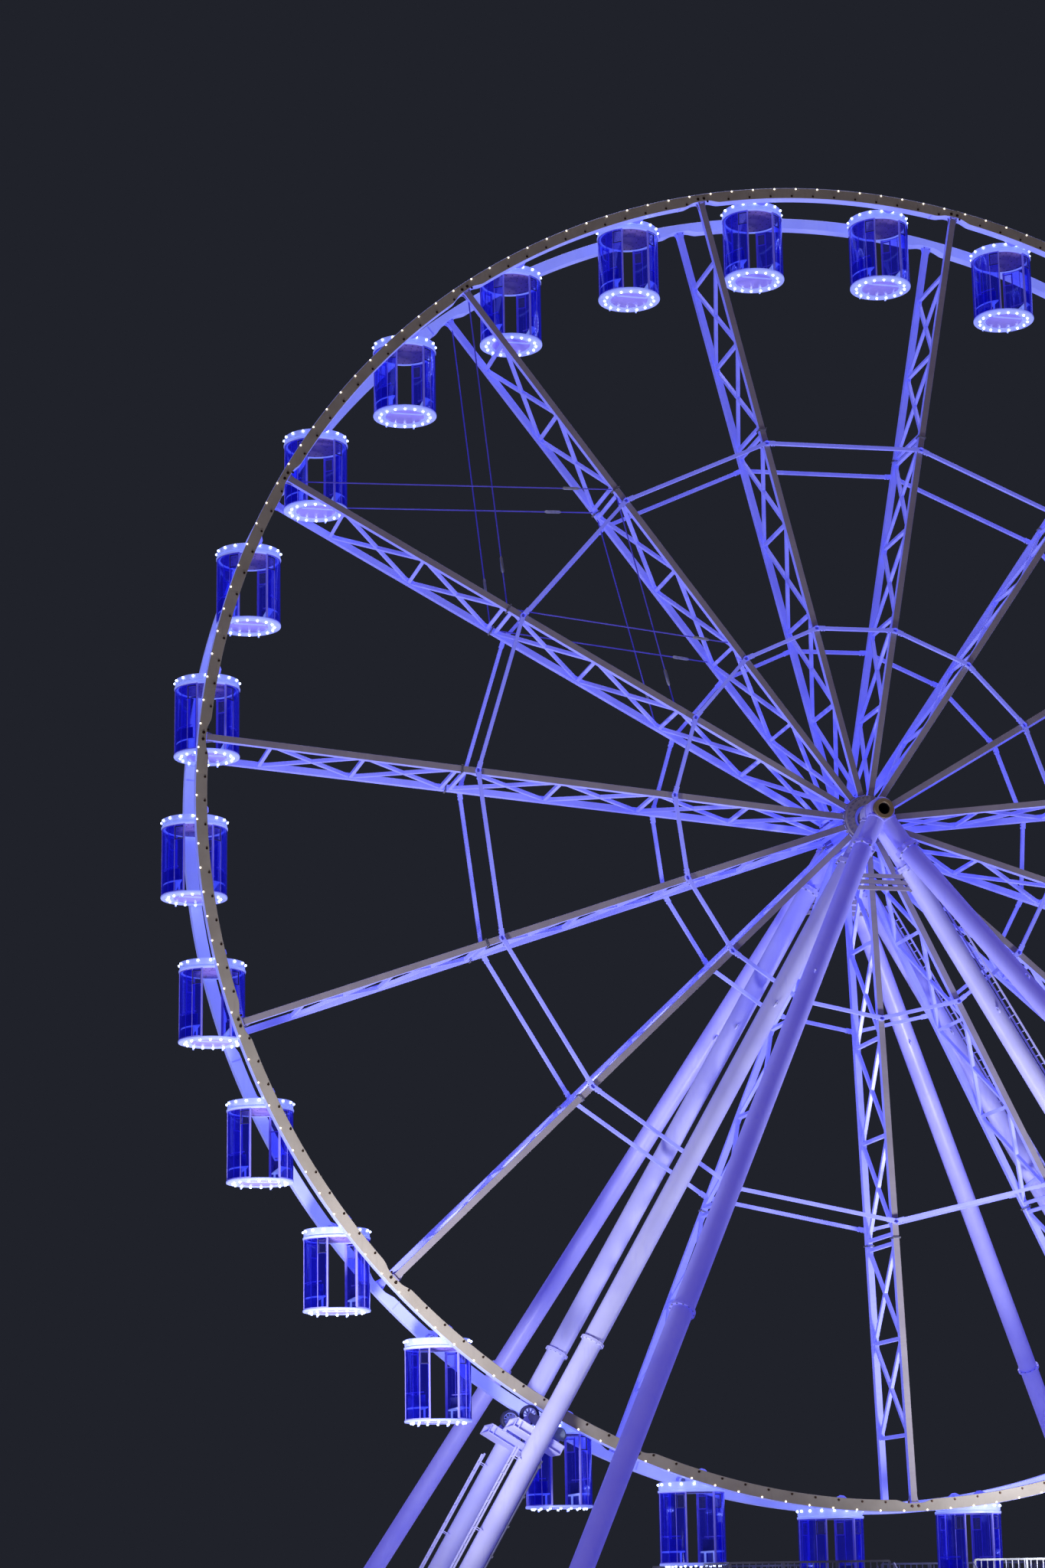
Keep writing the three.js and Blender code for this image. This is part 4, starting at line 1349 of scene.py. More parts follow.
    def frame(self) -> Shape:
        """Posts, vent frames with a dark seal outside (mark 1), edge strips and grab rails.

        Returns:
            The shape.
        """
        shape = Shape()
        skin = self.radius + 0.004
        vent_rings = ((skin, 0.006, 0.006, 1), (self.radius - 0.009, 0.008, 0.009, 0))
        for middle in (0.0, 180.0):
            self.post(shape, middle, 0.020, 0.018, self.radius - 0.004)
            for side in (-1, 1):
                jamb = middle + side * (90 - self.door_angle)
                edge = middle + side * self.vent_edge
                self.post(shape, jamb, 0.022, 0.03, self.radius - 0.008)
                for turn, width, depth in self.leaf_stiles:
                    self.post(shape, jamb - side * turn, width, depth, self.radius - 0.026)
                self.post(shape, edge, 0.008, 0.014, self.radius - 0.004)
                for outer, depth, half, mark in vent_rings:
                    for height in self.vent:
                        self.wall(shape, outer, depth, edge, jamb, height - half, height + half, mark, 6)
                    for inset in self.vent_posts:
                        at = edge + side * inset
                        turn = math.degrees(half / self.radius)
                        self.wall(shape, outer, depth, at - turn, at + turn, *self.vent, mark, 2)
            for low, high in ((self.floor_top - 0.002, self.floor_top + 0.010),
                              (self.roof_bottom - 0.010, self.roof_bottom + 0.002)):
                self.wall(shape, skin, 0.02, middle - self.strip_reach, middle + self.strip_reach,
                          low, high, 0, 24)
            points = self.arc(self.radius - self.rail_inset, middle - self.rail_reach,
                              middle + self.rail_reach, 20, self.floor_top + self.rail_height)
            for a, b in zip(points, points[1:]):
                shape.tube(a, b, self.rail_radius, 8)
            for p in (points[0], points[10], points[-1]):
                shape.tube(p, p + Vector((p.x, p.y, 0)).normalized() * 0.045, 0.007, 8)
        return shape

    def benches(self) -> Shape:
        """Two benches: a pale slab with a pad, on legs and a set-back plinth; mark 1 is the pale coat.

        Returns:
            The shape.
        """
        shape = Shape()
        radius, slab = self.radius - 0.03, self.seat_height - 0.034
        reach = math.degrees(math.acos(self.seat_edge / radius))
        for middle in (0.0, 180.0):
            sign = 1 if middle == 0.0 else -1
            arc = self.arc(radius, middle - reach, middle + reach, 14, self.floor_top)
            plinth = [Vector((sign * (self.seat_edge + 0.09), p.y, p.z)) for p in (arc[-3], arc[2])]
            shape.prism(arc[2:-2] + plinth, Z_AXIS * slab)
            shape.prism([p + Z_AXIS * slab for p in arc], Z_AXIS * 0.024, 1)
            pad = self.arc(radius - 0.006, middle - reach + 1, middle + reach - 1, 14, self.floor_top)
            shape.prism([p + Z_AXIS * (slab + 0.023) for p in pad], Z_AXIS * 0.011)
            for y in (-0.24, 0.24):
                foot = Vector((sign * (self.seat_edge + 0.02), y, self.floor_top))
                shape.bar(foot, foot + Z_AXIS * slab, 0.02, 0.03, Y_AXIS, 1)
            seat = self.floor_top + self.seat_height
            self.wall(shape, radius, 0.03, middle - reach + 6, middle + reach - 6, seat,
                      seat + self.back_rest, 0, 14)
        return shape

    def build(self) -> None:
        """Makes the thirty cabins from one set of meshes."""
        meshes = {
            "roof": (self.roof().mesh("cabin_roof", (CABIN_COAT, LINING, TYRE_RUBBER, GALVANISED)), 0.0),
            "floor": (self.floor().mesh("cabin_floor", (CABIN_COAT, FLOOR_COAT, CHEQUER)), 0.0),
            "lamps": (self.lamps().mesh("cabin_lamps", (CABIN_LAMP,), 60), 0.0),
            "glass": (self.glazing().mesh("cabin_glass", (GLASS, CLEAR_GLASS)), 0.0),
            "frame": (self.frame().mesh("cabin_frame", (POST_COAT, TYRE_RUBBER)), 0.0),
            "benches": (self.benches().mesh("cabin_benches", (GEL_COAT, CABIN_COAT)), 0.003),
        }
        for i in range(2 * BAYS):
            name = f"cabin_{i + 1:02d}"
            pivot = wheel_point(PIVOT_RADIUS, SPOKE_PHASE + (i + 0.5) * CABIN_ANGLE, 0)
            place = Matrix.Translation(pivot)
            for kind, (mesh, bevel) in meshes.items():
                stands_for = (name,) if kind == "glass" else ()
                place_piece(f"{name}_{kind}", mesh, name, stands_for, place, bevel)


@dataclass
class Axle:
    """The fixed hollow axle, chamfered at both ends, with painted shade inside."""

    radius: float = 0.168
    bore: float = 0.095
    half: float = 1.44

    def tube(self) -> Shape:
        """The axle; mark 1 is the painted shade inside the bore: its linings and the disc that closes it.

        Returns:
            The shape.
        """
        shape = Shape()
        centre = Vector((0, 0, HUB_HEIGHT))
        edge = 0.008
        h, r, b = self.half, self.radius, self.bore
        shape.ring([(b, -h + edge), (b + edge, -h), (r - edge, -h), (r, -h + edge), (r, h - edge),
                    (r - edge, h), (b + edge, h), (b, h - edge)], centre, Y_AXIS, 64)
        # The disc across the bore and the linings at its ends are painted shade in mark 1.
        shape.turned([(b + 0.002, -0.9), (b + 0.002, 0.9)], centre, Y_AXIS, 32, 1)
        for end in End:
            shape.ring([(b - 0.0015, h - 0.016), (b + 0.003, h - 0.016), (b + 0.003, 0.5), (b - 0.0015, 0.5)],
                       centre, end.out, 48, 1)
        return shape

    def build(self) -> None:
        """Makes the axle."""
        mesh = self.tube().mesh("axle_tube", (AXLE_COAT, SHADOW))
        place_piece("axle_tube", mesh, "frame", ("axle",))


@dataclass
class Legs:
    """One pair of tubular legs from a collar on the axle to the base, bolted at the knees."""

    stance: Stance
    head_y: float
    knee: tuple[float, float, float]
    foot: tuple[float, float]
    foot_height: float = 0.0405
    radius: float = 0.158
    head_radius: float = 0.145
    flange: float = 0.205
    flange_root: float = 0.178
    flange_thick: float = 0.040
    knee_bolts: int = 8
    knee_bolt_radius: float = 0.182
    collar: float = 0.21
    collar_bore: float = 0.1685
    collar_length: float = 0.22
    lug_share: float = 0.19
    splice_share: float = 0.62
    splice_thick: float = 0.020

    def line(self, end: End, hand: Hand) -> tuple[Vector, Vector, Vector]:
        """Head, knee and foot of a leg's middle line.

        Args:
            end: Front or rear.
            hand: Left or right.

        Returns:
            The three points.
        """
        head = Vector((0, end.value * self.head_y, HUB_HEIGHT))
        knee = Vector((hand.value * self.knee[0], end.value * self.knee[1], HUB_HEIGHT + self.knee[2]))
        foot = Vector((hand.value * self.foot[0], end.value * self.foot[1], self.foot_height))
        return head, knee, foot

    def leg(self, shape: Shape, end: End, hand: Hand) -> None:
        """One leg with its knee flanges, lugs and splice; mark 1 is the bolts.

        Args:
            shape: The shape that takes it.
            end: Front or rear.
            hand: Left or right.
        """
        head, knee, foot = self.line(end, hand)
        down = (foot - knee).normalized()
        upper = (knee - head).normalized()
        shape.tube(head + upper * 0.178, knee + down * 0.02, self.head_radius, 40)
        self.cut_tube(shape, knee, foot, down)
        joint_half = self.flange_thick + 0.002
        for shift in (-joint_half, 0.002):
            self.scalloped(shape, knee + down * shift, down)
        for angle in around(self.knee_bolts, 0.5):
            turn = Matrix.Rotation(angle, 3, down)
            side = turn @ down.orthogonal().normalized() * self.knee_bolt_radius
            shape.bolt(knee + side + down * joint_half, down, 0.034, 1)
            shape.bolt(knee + side - down * joint_half, -down, 0.034, 1)
        self.lugs(shape, knee.lerp(foot, self.lug_share), down, Vector((hand.value, 0, 0)))
        self.splice(shape, knee.lerp(foot, self.splice_share), down)
        shape.tube(head + upper * 0.19, head + upper * 0.215, self.head_radius + 0.012, 40)

    def cut_tube(self, shape: Shape, start: Vector, end: Vector, down: Vector) -> None:
        """A tube whose lower end is cut level.

        Args:
            shape: The shape that takes it.
            start: Upper end of the middle line.
            end: Where the middle line meets the cut.
            down: Direction down the leg.
        """
        side = down.orthogonal().normalized()
        other = down.cross(side)
        n = 40
        upper, lower = [], []
        for angle in around(n):
            way = (side * math.cos(angle) + other * math.sin(angle)) * self.radius
            upper.append(start + way)
            rim = end + way
            lower.append(rim + down * ((end.z - rim.z) / down.z))
        faces = [(k, (k + 1) % n, n + (k + 1) % n, n + k) for k in range(n)]
        shape.add(upper + lower, faces + [tuple(range(n)), tuple(range(2 * n - 1, n - 1, -1))])

    def scalloped(self, shape: Shape, start: Vector, down: Vector) -> None:
        """A round flange plate whose rim swells out at each bolt.

        Args:
            shape: The shape that takes it.
            start: Middle of the upper face.
            down: Direction down the leg.
        """
        side = down.orthogonal().normalized()
        other = down.cross(side)
        outline = []
        for angle in around(96):
            swell = 0.5 + 0.5 * math.cos(self.knee_bolts * (angle - math.pi / self.knee_bolts))
            radius = self.flange_root + (self.flange - self.flange_root) * swell
            outline.append(start + (side * math.cos(angle) + other * math.sin(angle)) * radius)
        shape.prism(outline, down * self.flange_thick)

    def lugs(self, shape: Shape, place: Vector, down: Vector, towards: Vector) -> None:
        """Two lifting lugs on the leg's sides, with a boss round each hole.

        Args:
            shape: The shape that takes it.
            place: Point on the leg's middle line.
            down: Direction down the leg.
            towards: Side on which the lugs' faces look.
        """
        side = (towards - down * towards.dot(down)).normalized()
        across = down.cross(side)
        for way in (-1, 1):
            base = place + across * way * (self.radius - 0.012)
            outline = [base - down * 0.07, base + down * 0.07, base + down * 0.03 + across * way * 0.062,
                       base - down * 0.03 + across * way * 0.062]
            shape.plate(outline, side, 0.016)
            boss = base + across * way * 0.032
            shape.tube(boss - side * 0.016, boss + side * 0.016, 0.024, 14, 1)

    def splice(self, shape: Shape, place: Vector, down: Vector) -> None:
        """A slim bolted flange pair where two lengths of the leg meet.

        Args:
            shape: The shape that takes it.
            place: Point on the leg's middle line.
            down: Direction down the leg.
        """
        for shift in (-0.021, 0.001):
            start = place + down * shift
            shape.tube(start, start + down * self.splice_thick, self.radius + 0.032, 40)
        for angle in around(12):
            turn = Matrix.Rotation(angle, 3, down)
            side = turn @ down.orthogonal().normalized() * (self.radius + 0.017)
            shape.bolt(place + side + down * 0.021, down, 0.02, 1)
            shape.bolt(place + side - down * 0.021, -down, 0.02, 1)

    def collar_piece(self, shape: Shape, end: End) -> None:
        """The collar on the axle, its edges chamfered.

        Args:
            shape: The shape that takes it.
            end: Front or rear.
        """
        centre = Vector((0, end.value * self.head_y, HUB_HEIGHT))
        half, edge = self.collar_length / 2, 0.01
        shape.ring([(self.collar_bore, -half), (self.collar - edge, -half), (self.collar, -half + edge),
                    (self.collar, half - edge), (self.collar - edge, half), (self.collar_bore, half)],
                   centre, Y_AXIS, 56)

    def frame_shape(self, end: End) -> Shape:
        """Both legs of one end with the collar.

        Args:
            end: Front or rear.

        Returns:
            The shape.
        """
        shape = Shape()
        self.collar_piece(shape, end)
        for hand in Hand:
            self.leg(shape, end, hand)
        return shape


@dataclass
class CrossBeams:
    """Three level beams that tie the inner legs under the axle, with an end plate at each leg."""

    legs: Legs
    heights: tuple[float, ...] = (-1.022, -1.122, -1.222)
    size: float = 0.06
    plate: tuple[float, float, float] = (0.014, 0.084, 0.092)
    plate_inset: float = 0.155

    def beams(self, end: End) -> Shape:
        """The beams of one end with their plates, all in mark 2.

        Args:
            end: Front or rear.

        Returns:
            The shape.
        """
        shape = Shape()
        knee_x, knee_y, knee_z = self.legs.knee
        slope = (self.legs.foot[0] - knee_x) / (HUB_HEIGHT + knee_z)
        y = end.value * knee_y
        thick, wide, tall = self.plate
        for height in self.heights:
            x = knee_x + (knee_z - height) * slope
            z = HUB_HEIGHT + height
            shape.bar(Vector((-x, y, z)), Vector((x, y, z)), self.size, mark=2)
            for side in (-1, 1):
                middle = Vector((side * (x - self.plate_inset), y, z))
                shape.bar(middle, middle - X_AXIS * side * thick, wide, tall, mark=2)
        return shape


@dataclass
class Ladder:
    """A rung ladder along the top of an inner leg, held off it by brackets.

    It starts a given length below the knee.
    """

    legs: Legs
    hand: Hand
    drop: float
    width: float = 0.2
    rail: float = 0.018
    rung_pitch: float = 0.15
    stand_off: float = 0.09
    foot_gap: float = 1.1
    bracket_pitch: float = 1.2

    def ladder(self, end: End) -> Shape:
        """Both rails, all rungs and the brackets.

        Args:
            end: Front or rear.

        Returns:
            The shape.
        """
        shape = Shape()
        _, knee, foot = self.legs.line(end, self.hand)
        down = (foot - knee).normalized()
        up = (Z_AXIS - down * down.z).normalized()
        across = down.cross(up)
        lift = up * (self.legs.radius + self.stand_off)
        start, finish = knee + down * self.drop + lift, foot - down * self.foot_gap + lift
        for side in (-1, 1):
            shift = across * side * self.width / 2
            shape.bar(start + shift, finish + shift, self.rail, self.rail * 1.5, across)
        length = (finish - start).length
        for k in range(1, int(length / self.rung_pitch)):
            middle = start + down * self.rung_pitch * k
            shape.tube(middle - across * self.width / 2, middle + across * self.width / 2, 0.009, 8)
        for k in range(int(length / self.bracket_pitch) + 1):
            middle = start + down * (self.rung_pitch + self.bracket_pitch * k)
            for side in (-1, 1):
                top = middle + across * side * self.width / 2
                shape.bar(top, top - lift.normalized() * (self.stand_off + 0.05), 0.02, 0.012, across)
        return shape


@dataclass
class Drive:
    """The tyre drive on a left inner leg: cradle, fork, geared motor, tyre and the motor's conduits."""

    angle: float = 238.5
    tyre_radius: float = 0.150
    tyre_width: float = 0.1
    rim_outer: float = 11.0212
    middle_y: float = 0.64
    cradle_y: tuple[float, float] = (-0.08, 0.486)
    cradle_z: tuple[float, float] = (-0.22, 0.62)
    motor_place: tuple[float, float, float] = (0.06, 0.0, 0.48)
    tread_blocks: int = 36
    tread_rows: tuple[float, ...] = (-0.029, -0.0097, 0.0097, 0.029)
    alloy_spokes: int = 10
    conduit_radius: float = 0.014
    conduit_gap: float = 0.022
    conduit_foot: float = 0.7
    clip_pitch: float = 0.5

    def place(self, end: End) -> Matrix:
        """Frame at the tyre's middle: +X away from the wheel's middle, +Y away from the machine's.

        Args:
            end: Front or rear.

        Returns:
            The frame as a matrix.
        """
        centre = wheel_point(self.rim_outer + self.tyre_radius, self.angle, end.value * self.middle_y)
        turn = Matrix.Rotation(-math.radians(self.angle), 4, "Y")
        flip = Matrix.Diagonal((1, end.value, 1, 1))
        return Matrix.Translation(centre) @ turn @ flip

    def cradle(self) -> Shape:
        """Channel cradle, fork arms and motor foot; mark 1 is the bolts, mark 2 galvanised parts.

        Returns:
            The shape.
        """
        shape = Shape()
        (near, far), (start, end) = self.cradle_y, self.cradle_z
        for x in (0.2, 0.336):
            shape.box((x, near, start), (x + 0.016, far, end))
        for y in (near + 0.045, far - 0.057):
            shape.box((0.21, y, start + 0.01), (0.34, y + 0.012, end - 0.01))
        for z in (start, start + 0.08, end - 0.012):
            for y in (near + 0.002, far - 0.049):
                shape.box((0.214, y, z), (0.338, y + 0.047, z + 0.012))
        for y0, hub, foot in ((-0.080, 0.018, 0.03), (0.062, 0.045, 0.11)):
            corners = ((-0.03, -hub), (0.08, -hub - 0.004), (0.201, -foot), (0.201, foot),
                       (0.08, hub + 0.004), (-0.03, hub))
            outline = [Vector((x, y0, z)) for x, z in corners]
            shape.prism(outline, Y_AXIS * 0.018)
            out = -1 if y0 < 0 else 1
            face = y0 + (0.018 if out > 0 else 0.0)
            shape.turned([(0.026, 0.0), (0.026, 0.010), (0.018, 0.014), (0.0, 0.014)],
                         Vector((0, face, 0)), Y_AXIS * out, 20, 2)
        for z in (-0.16, -0.06, 0.06, 0.16, 0.33, 0.57):
            for y in (-0.06, 0.46):
                shape.bolt(Vector((0.2, y, z)), -X_AXIS, 0.022, 1)
        shape.box((0.105, 0.01, 0.41), (0.201, 0.26, 0.55))
        return shape

    def motor(self) -> Shape:
        """Finned motor with fan cover, gearbox and terminal box; mark 1 is the belt's guard.

        Returns:
            The shape.
        """
        shape = Shape()
        centre = Vector(self.motor_place)
        shape.turned([(0.088, 0.0), (0.098, 0.01), (0.098, 0.10), (0.09, 0.112), (0.084, 0.112),
                      (0.084, 0.30), (0.098, 0.302), (0.102, 0.31), (0.102, 0.34), (0.085, 0.352),
                      (0.0, 0.352)], centre, Y_AXIS, 32)
        for angle in around(24):
            way = Vector((math.cos(angle), 0, math.sin(angle)))
            fin = centre + way * 0.09
            shape.bar(fin + Y_AXIS * 0.116, fin + Y_AXIS * 0.30, 0.004, 0.022, way.cross(Y_AXIS))
        shape.box((-0.02, -0.035, 0.40), (0.13, 0.002, 0.56))
        shape.box((0.0, 0.15, 0.575), (0.10, 0.25, 0.612))
        guard = [Vector((-0.02 + 0.09 * math.cos(a), 0.0, 0.24 + 0.26 * math.sin(a))) for a in around(32)]
        shape.prism([p + Y_AXIS * 0.084 + X_AXIS * 0.05 for p in guard], Y_AXIS * 0.03, 1)
        return shape

    def tyre(self) -> Shape:
        """Tyre with tread blocks on a ten-spoke wheel; mark 1 is the alloy, mark 2 the hub cap's bolts.

        Returns:
            The shape.
        """
        shape = Shape()
        r, w = self.tyre_radius, self.tyre_width / 2
        profile = [(r * 0.70, -w * 0.86), (r * 0.76, -w), (r * 0.88, -w), (r * 0.955, -w * 0.86),
                   (r * 0.972, -w * 0.6), (r * 0.972, w * 0.6), (r * 0.955, w * 0.86), (r * 0.88, w),
                   (r * 0.76, w), (r * 0.70, w * 0.86), (r * 0.72, w * 0.6), (r * 0.72, -w * 0.6)]
        shape.ring(profile, Vector(), Y_AXIS, 48)
        for k in range(self.tread_blocks):
            for row, y in enumerate(self.tread_rows):
                angle = 2 * math.pi * (k + 0.5 * (row % 2)) / self.tread_blocks
                way = Vector((math.cos(angle), 0, math.sin(angle)))
                middle = way * (r * 0.984) + Y_AXIS * y
                shape.bar(middle - way * 0.006, middle + way * 0.0023, 0.015, 0.018, Y_AXIS)
        shape.ring([(r * 0.655, -w * 0.86), (r * 0.715, -w * 0.9), (r * 0.725, -w * 0.6),
                    (r * 0.725, w * 0.6), (r * 0.715, w * 0.9), (r * 0.655, w * 0.86), (r * 0.67, 0.0)],
                   Vector(), Y_AXIS, 48, 1)
        for face in (-1, 1):
            y = face * w * 0.62
            boss = [(0.0, y - 0.008), (0.03, y - 0.008), (0.03, y + 0.008), (0.0, y + 0.008)]
            shape.turned(boss, Vector(), Y_AXIS, 24, 1)
            for angle in around(self.alloy_spokes):
                way = Vector((math.cos(angle), 0, math.sin(angle)))
                shape.bar(way * 0.026 + Y_AXIS * y, way * r * 0.67 + Y_AXIS * y, 0.012, 0.013, Y_AXIS, 1)
                bolt = Matrix.Rotation(math.pi / self.alloy_spokes, 3, "Y") @ way * 0.022
                shape.bolt(bolt + Y_AXIS * (y + face * 0.008), Y_AXIS * face, 0.008, 2)
        shape.turned([(0.014, -0.0615), (0.014, 0.0615)], Vector(), Y_AXIS, 20, 1)
        return shape

    def conduits(self, legs: Legs, end: End, drop: float) -> Shape:
        """Two conduits with clips from the cradle down the leg's underside.

        Args:
            legs: The inner legs that carry the drive.
            end: Front or rear of the machine.
            drop: Length along the leg from its knee to the conduits' upper end.

        Returns:
            The conduits and their clips.
        """
        shape = Shape()
        _, knee, foot = legs.line(end, Hand.LEFT)
        down = (foot - knee).normalized()
        under = (down * down.z - Z_AXIS).normalized()
        across = down.cross(under)
        gap = under * (legs.radius + self.conduit_gap)
        start = knee + down * drop + gap
        finish = foot - down * self.conduit_foot + gap
        for side in (-1, 1):
            shift = across * side * 0.04
            shape.tube(start + shift, finish + shift, self.conduit_radius, 10)
        length = (finish - start).length
        for k in range(int(length / self.clip_pitch) + 1):
            middle = start + down * (0.1 + self.clip_pitch * k)
            shape.bar(middle - across * 0.065, middle + across * 0.065, 0.03, 0.05, down)
        return shape

    def build(self) -> None:
        """Makes both motors and both tyres; the stand makes the cradles and the conduits."""
        for end in End:
            place = self.place(end)
            name = f"{end.label}_drive"
            motor = self.motor().moved(place).mesh(f"{name}_motor", (MOTOR_ENAMEL, GALVANISED))
            place_piece(f"{name}_motor", motor, "frame")
            tyre = self.tyre().moved(place).mesh(f"{name}_tyre", (TYRE_RUBBER, ANODISED, BLACK_OXIDE))
            place_piece(f"{name}_tyre_wheel", tyre, f"{end.label}_tyre", (f"{name}_tyre",))


@dataclass
class Stand:
    """All legs, cross beams, ladders, drives and conduits of the stand."""

    inner: Legs
    outer: Legs
    drive_drop: float = 10.75
    ladder_drop: float = 0.35

    def build(self) -> None:
        """Makes the stand's pieces."""
        drive = Drive()
        for end in End:
            for legs, coat in ((self.inner, LEG_COAT), (self.outer, OUTER_LEG_COAT)):
                shape = legs.frame_shape(end)
                if legs.stance is Stance.INNER:
                    shape.merge(CrossBeams(legs).beams(end))
                name = f"{end.label}_{legs.stance.value}_legs"
                tubes = shape.mesh(name, (coat, GALVANISED, STONE_COAT))
                place_piece(f"{name}_tubes", tubes, "frame", (name,))
            shape = drive.cradle().moved(drive.place(end))
            cradle = shape.mesh(f"{end.label}_cradle", (LEG_COAT, BLACK_OXIDE, GALVANISED))
            place_piece(f"{end.label}_drive_cradle", cradle, "frame", bevel=0.003)
            for hand, drop in ((Hand.LEFT, self.drive_drop), (Hand.RIGHT, self.ladder_drop)):
                name = f"{end.label}_{hand.label}_ladder"
                ladder = Ladder(self.inner, hand, drop).ladder(end)
                place_piece(name, ladder.mesh(name, (LEG_COAT,)), "frame")
            conduits = drive.conduits(self.inner, end, self.drive_drop)
            mesh = conduits.mesh(f"{end.label}_conduits", (GALVANISED,))
            place_piece(f"{end.label}_drive_conduits", mesh, "frame")
        drive.build()


@dataclass
class Base:
    """Details on the base frame and the boarding platform, whose own solids stay."""

    inner: Legs
    outer: Legs
    deck_top: float = 0.8475
    deck_half: tuple[float, float] = (3.2, 2.1)
    rail_low: float = 0.08
    rail_middle: float = 0.28
    rail_top: float = 0.53
    bolt_reach: float = 0.27
    stair_half: float = 0.65
    steps: int = 9
    tread: float = 0.14
    lane_half: float = 0.75
    baluster_pitch: float = 0.1
    handrail: float = 0.5
    handrail_posts: tuple[float, ...] = (0.0, 0.5, 1.0)

    def foot_fittings(self) -> Shape:
        """Four anchor bolts at each of the eight feet; mark 1 is their metal.

        Returns:
            The shape.
        """
        shape = Shape()
        for legs in (self.inner, self.outer):
            for end in End:
                for hand in Hand:
                    foot = Vector((hand.value * legs.foot[0], end.value * legs.foot[1], 0.04))
                    for dx, dy in CORNERS:
                        shape.bolt(foot + Vector((dx, dy, 0)) * self.bolt_reach, Z_AXIS, 0.05, 1)
        return shape

    def rails(self) -> Shape:
        """Middle bars, upright bars and toe boards between the CAD rails' posts.

        Returns:
            The shape.
        """
        shape = Shape()
        x, y = self.deck_half[0] - 0.03, self.deck_half[1] - 0.03
        for end in End:
            for hand in Hand:
                corner = Vector((hand.value * x, end.value * y, self.deck_top))
                runs = (Vector((hand.value * (self.stair_half + 0.03), corner.y, self.deck_top)),
                        Vector((corner.x, end.value * self.lane_half, self.deck_top)))
                for start in runs:
                    for height in (self.rail_middle, self.rail_low):
                        shape.bar(start + Z_AXIS * height, corner + Z_AXIS * height, 0.018)
                    count = round((corner - start).length / self.baluster_pitch)
                    for k in range(1, count):
                        foot = start.lerp(corner, k / count)
                        shape.bar(foot + Z_AXIS * self.rail_low, foot + Z_AXIS * self.rail_top, 0.012)
                    board = Z_AXIS * 0.03
                    shape.bar(start + board, corner + board, 0.01, 0.06, Z_AXIS.cross(corner - start))
        return shape

    def stair_fittings(self) -> Shape:
        """Nosings and handrails with their posts, on both stairs.

        Returns:
            The shape.
        """
        shape = Shape()
        rise = self.deck_top / (self.steps + 1)
        for end in End:
            edge = end.value * self.deck_half[1]
            for i in range(1, self.steps + 1):
                y = edge + end.value * (i * self.tread - 0.012)
                z = self.deck_top - i * rise
                shape.bar(Vector((-self.stair_half, y, z)), Vector((self.stair_half, y, z)), 0.03, 0.012)
            run = self.steps * self.tread
            for hand in Hand:
                x = hand.value * (self.stair_half - 0.02)
                top = Vector((x, edge + end.value * 0.03, self.deck_top + self.handrail))
                low = Vector((x, edge + end.value * (run - 0.1), rise + self.handrail))
                shape.tube(top, low, 0.014, 12)
                for share in self.handrail_posts:
                    head = top.lerp(low, share)
                    shape.tube(head, head - Z_AXIS * (self.handrail + 0.02), 0.012, 10)
        return shape

    def build(self) -> None:
        """Dresses the CAD nodes and adds the details."""
        for name, finish in (("base_frame", LEG_COAT), ("boarding_platform", CHEQUER)):
            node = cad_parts[name]
            node.data.materials.clear()
            node.data.materials.append(finish.material())
        details = {
            "foot_anchor_bolts": self.foot_fittings().mesh("foot_bolts", (LEG_COAT, GALVANISED)),
            "platform_rail_infill": self.rails().mesh("rail_infill", (GALVANISED,)),
            "stair_fittings": self.stair_fittings().mesh("stair_fittings", (GALVANISED,)),
        }
        for name, mesh in details.items():
            place_piece(name, mesh, "frame")


@dataclass(frozen=True)
class Sun:
    """A broad soft light from far away: where it stands, in degrees, how strong and how wide it is."""

    name: str
    azimuth: float
    height: float
    strength: float
    spread: float
    colour: str

    def towards(self) -> Vector:
        """Direction in which the light stands."""
        a, h = math.radians(self.azimuth), math.radians(self.height)
        return Vector((math.sin(a) * math.cos(h), -math.cos(a) * math.cos(h), math.sin(h)))


@dataclass(frozen=True)
class GroundLamp:
    """A soft round lamp near the ground that shines up at the wheel and spares the floor."""

    name: str
    place: tuple[float, float, float]
    aim: tuple[float, float, float]
    watts: float
    spread: float
    size: float = 2.0
    colour: str = "#fbfaff"


SUNS = (Sun("key", -38, 50, 0.16, 30, "#ffdcc2"), Sun("fill", 48, 56, 0.08, 40, "#ffdcc2"),
        Sun("back", 165, 64, 1.3, 40, "#efeaff"))
GROUND_LAMPS = (GroundLamp("low left", (-11.0, -6.0, 1.0), (-7.0, 0.0, 8.0), 400.0, 96),
                GroundLamp("low middle", (3.0, -5.0, 1.0), (1.5, 0.0, 9.0), 360.0, 110))


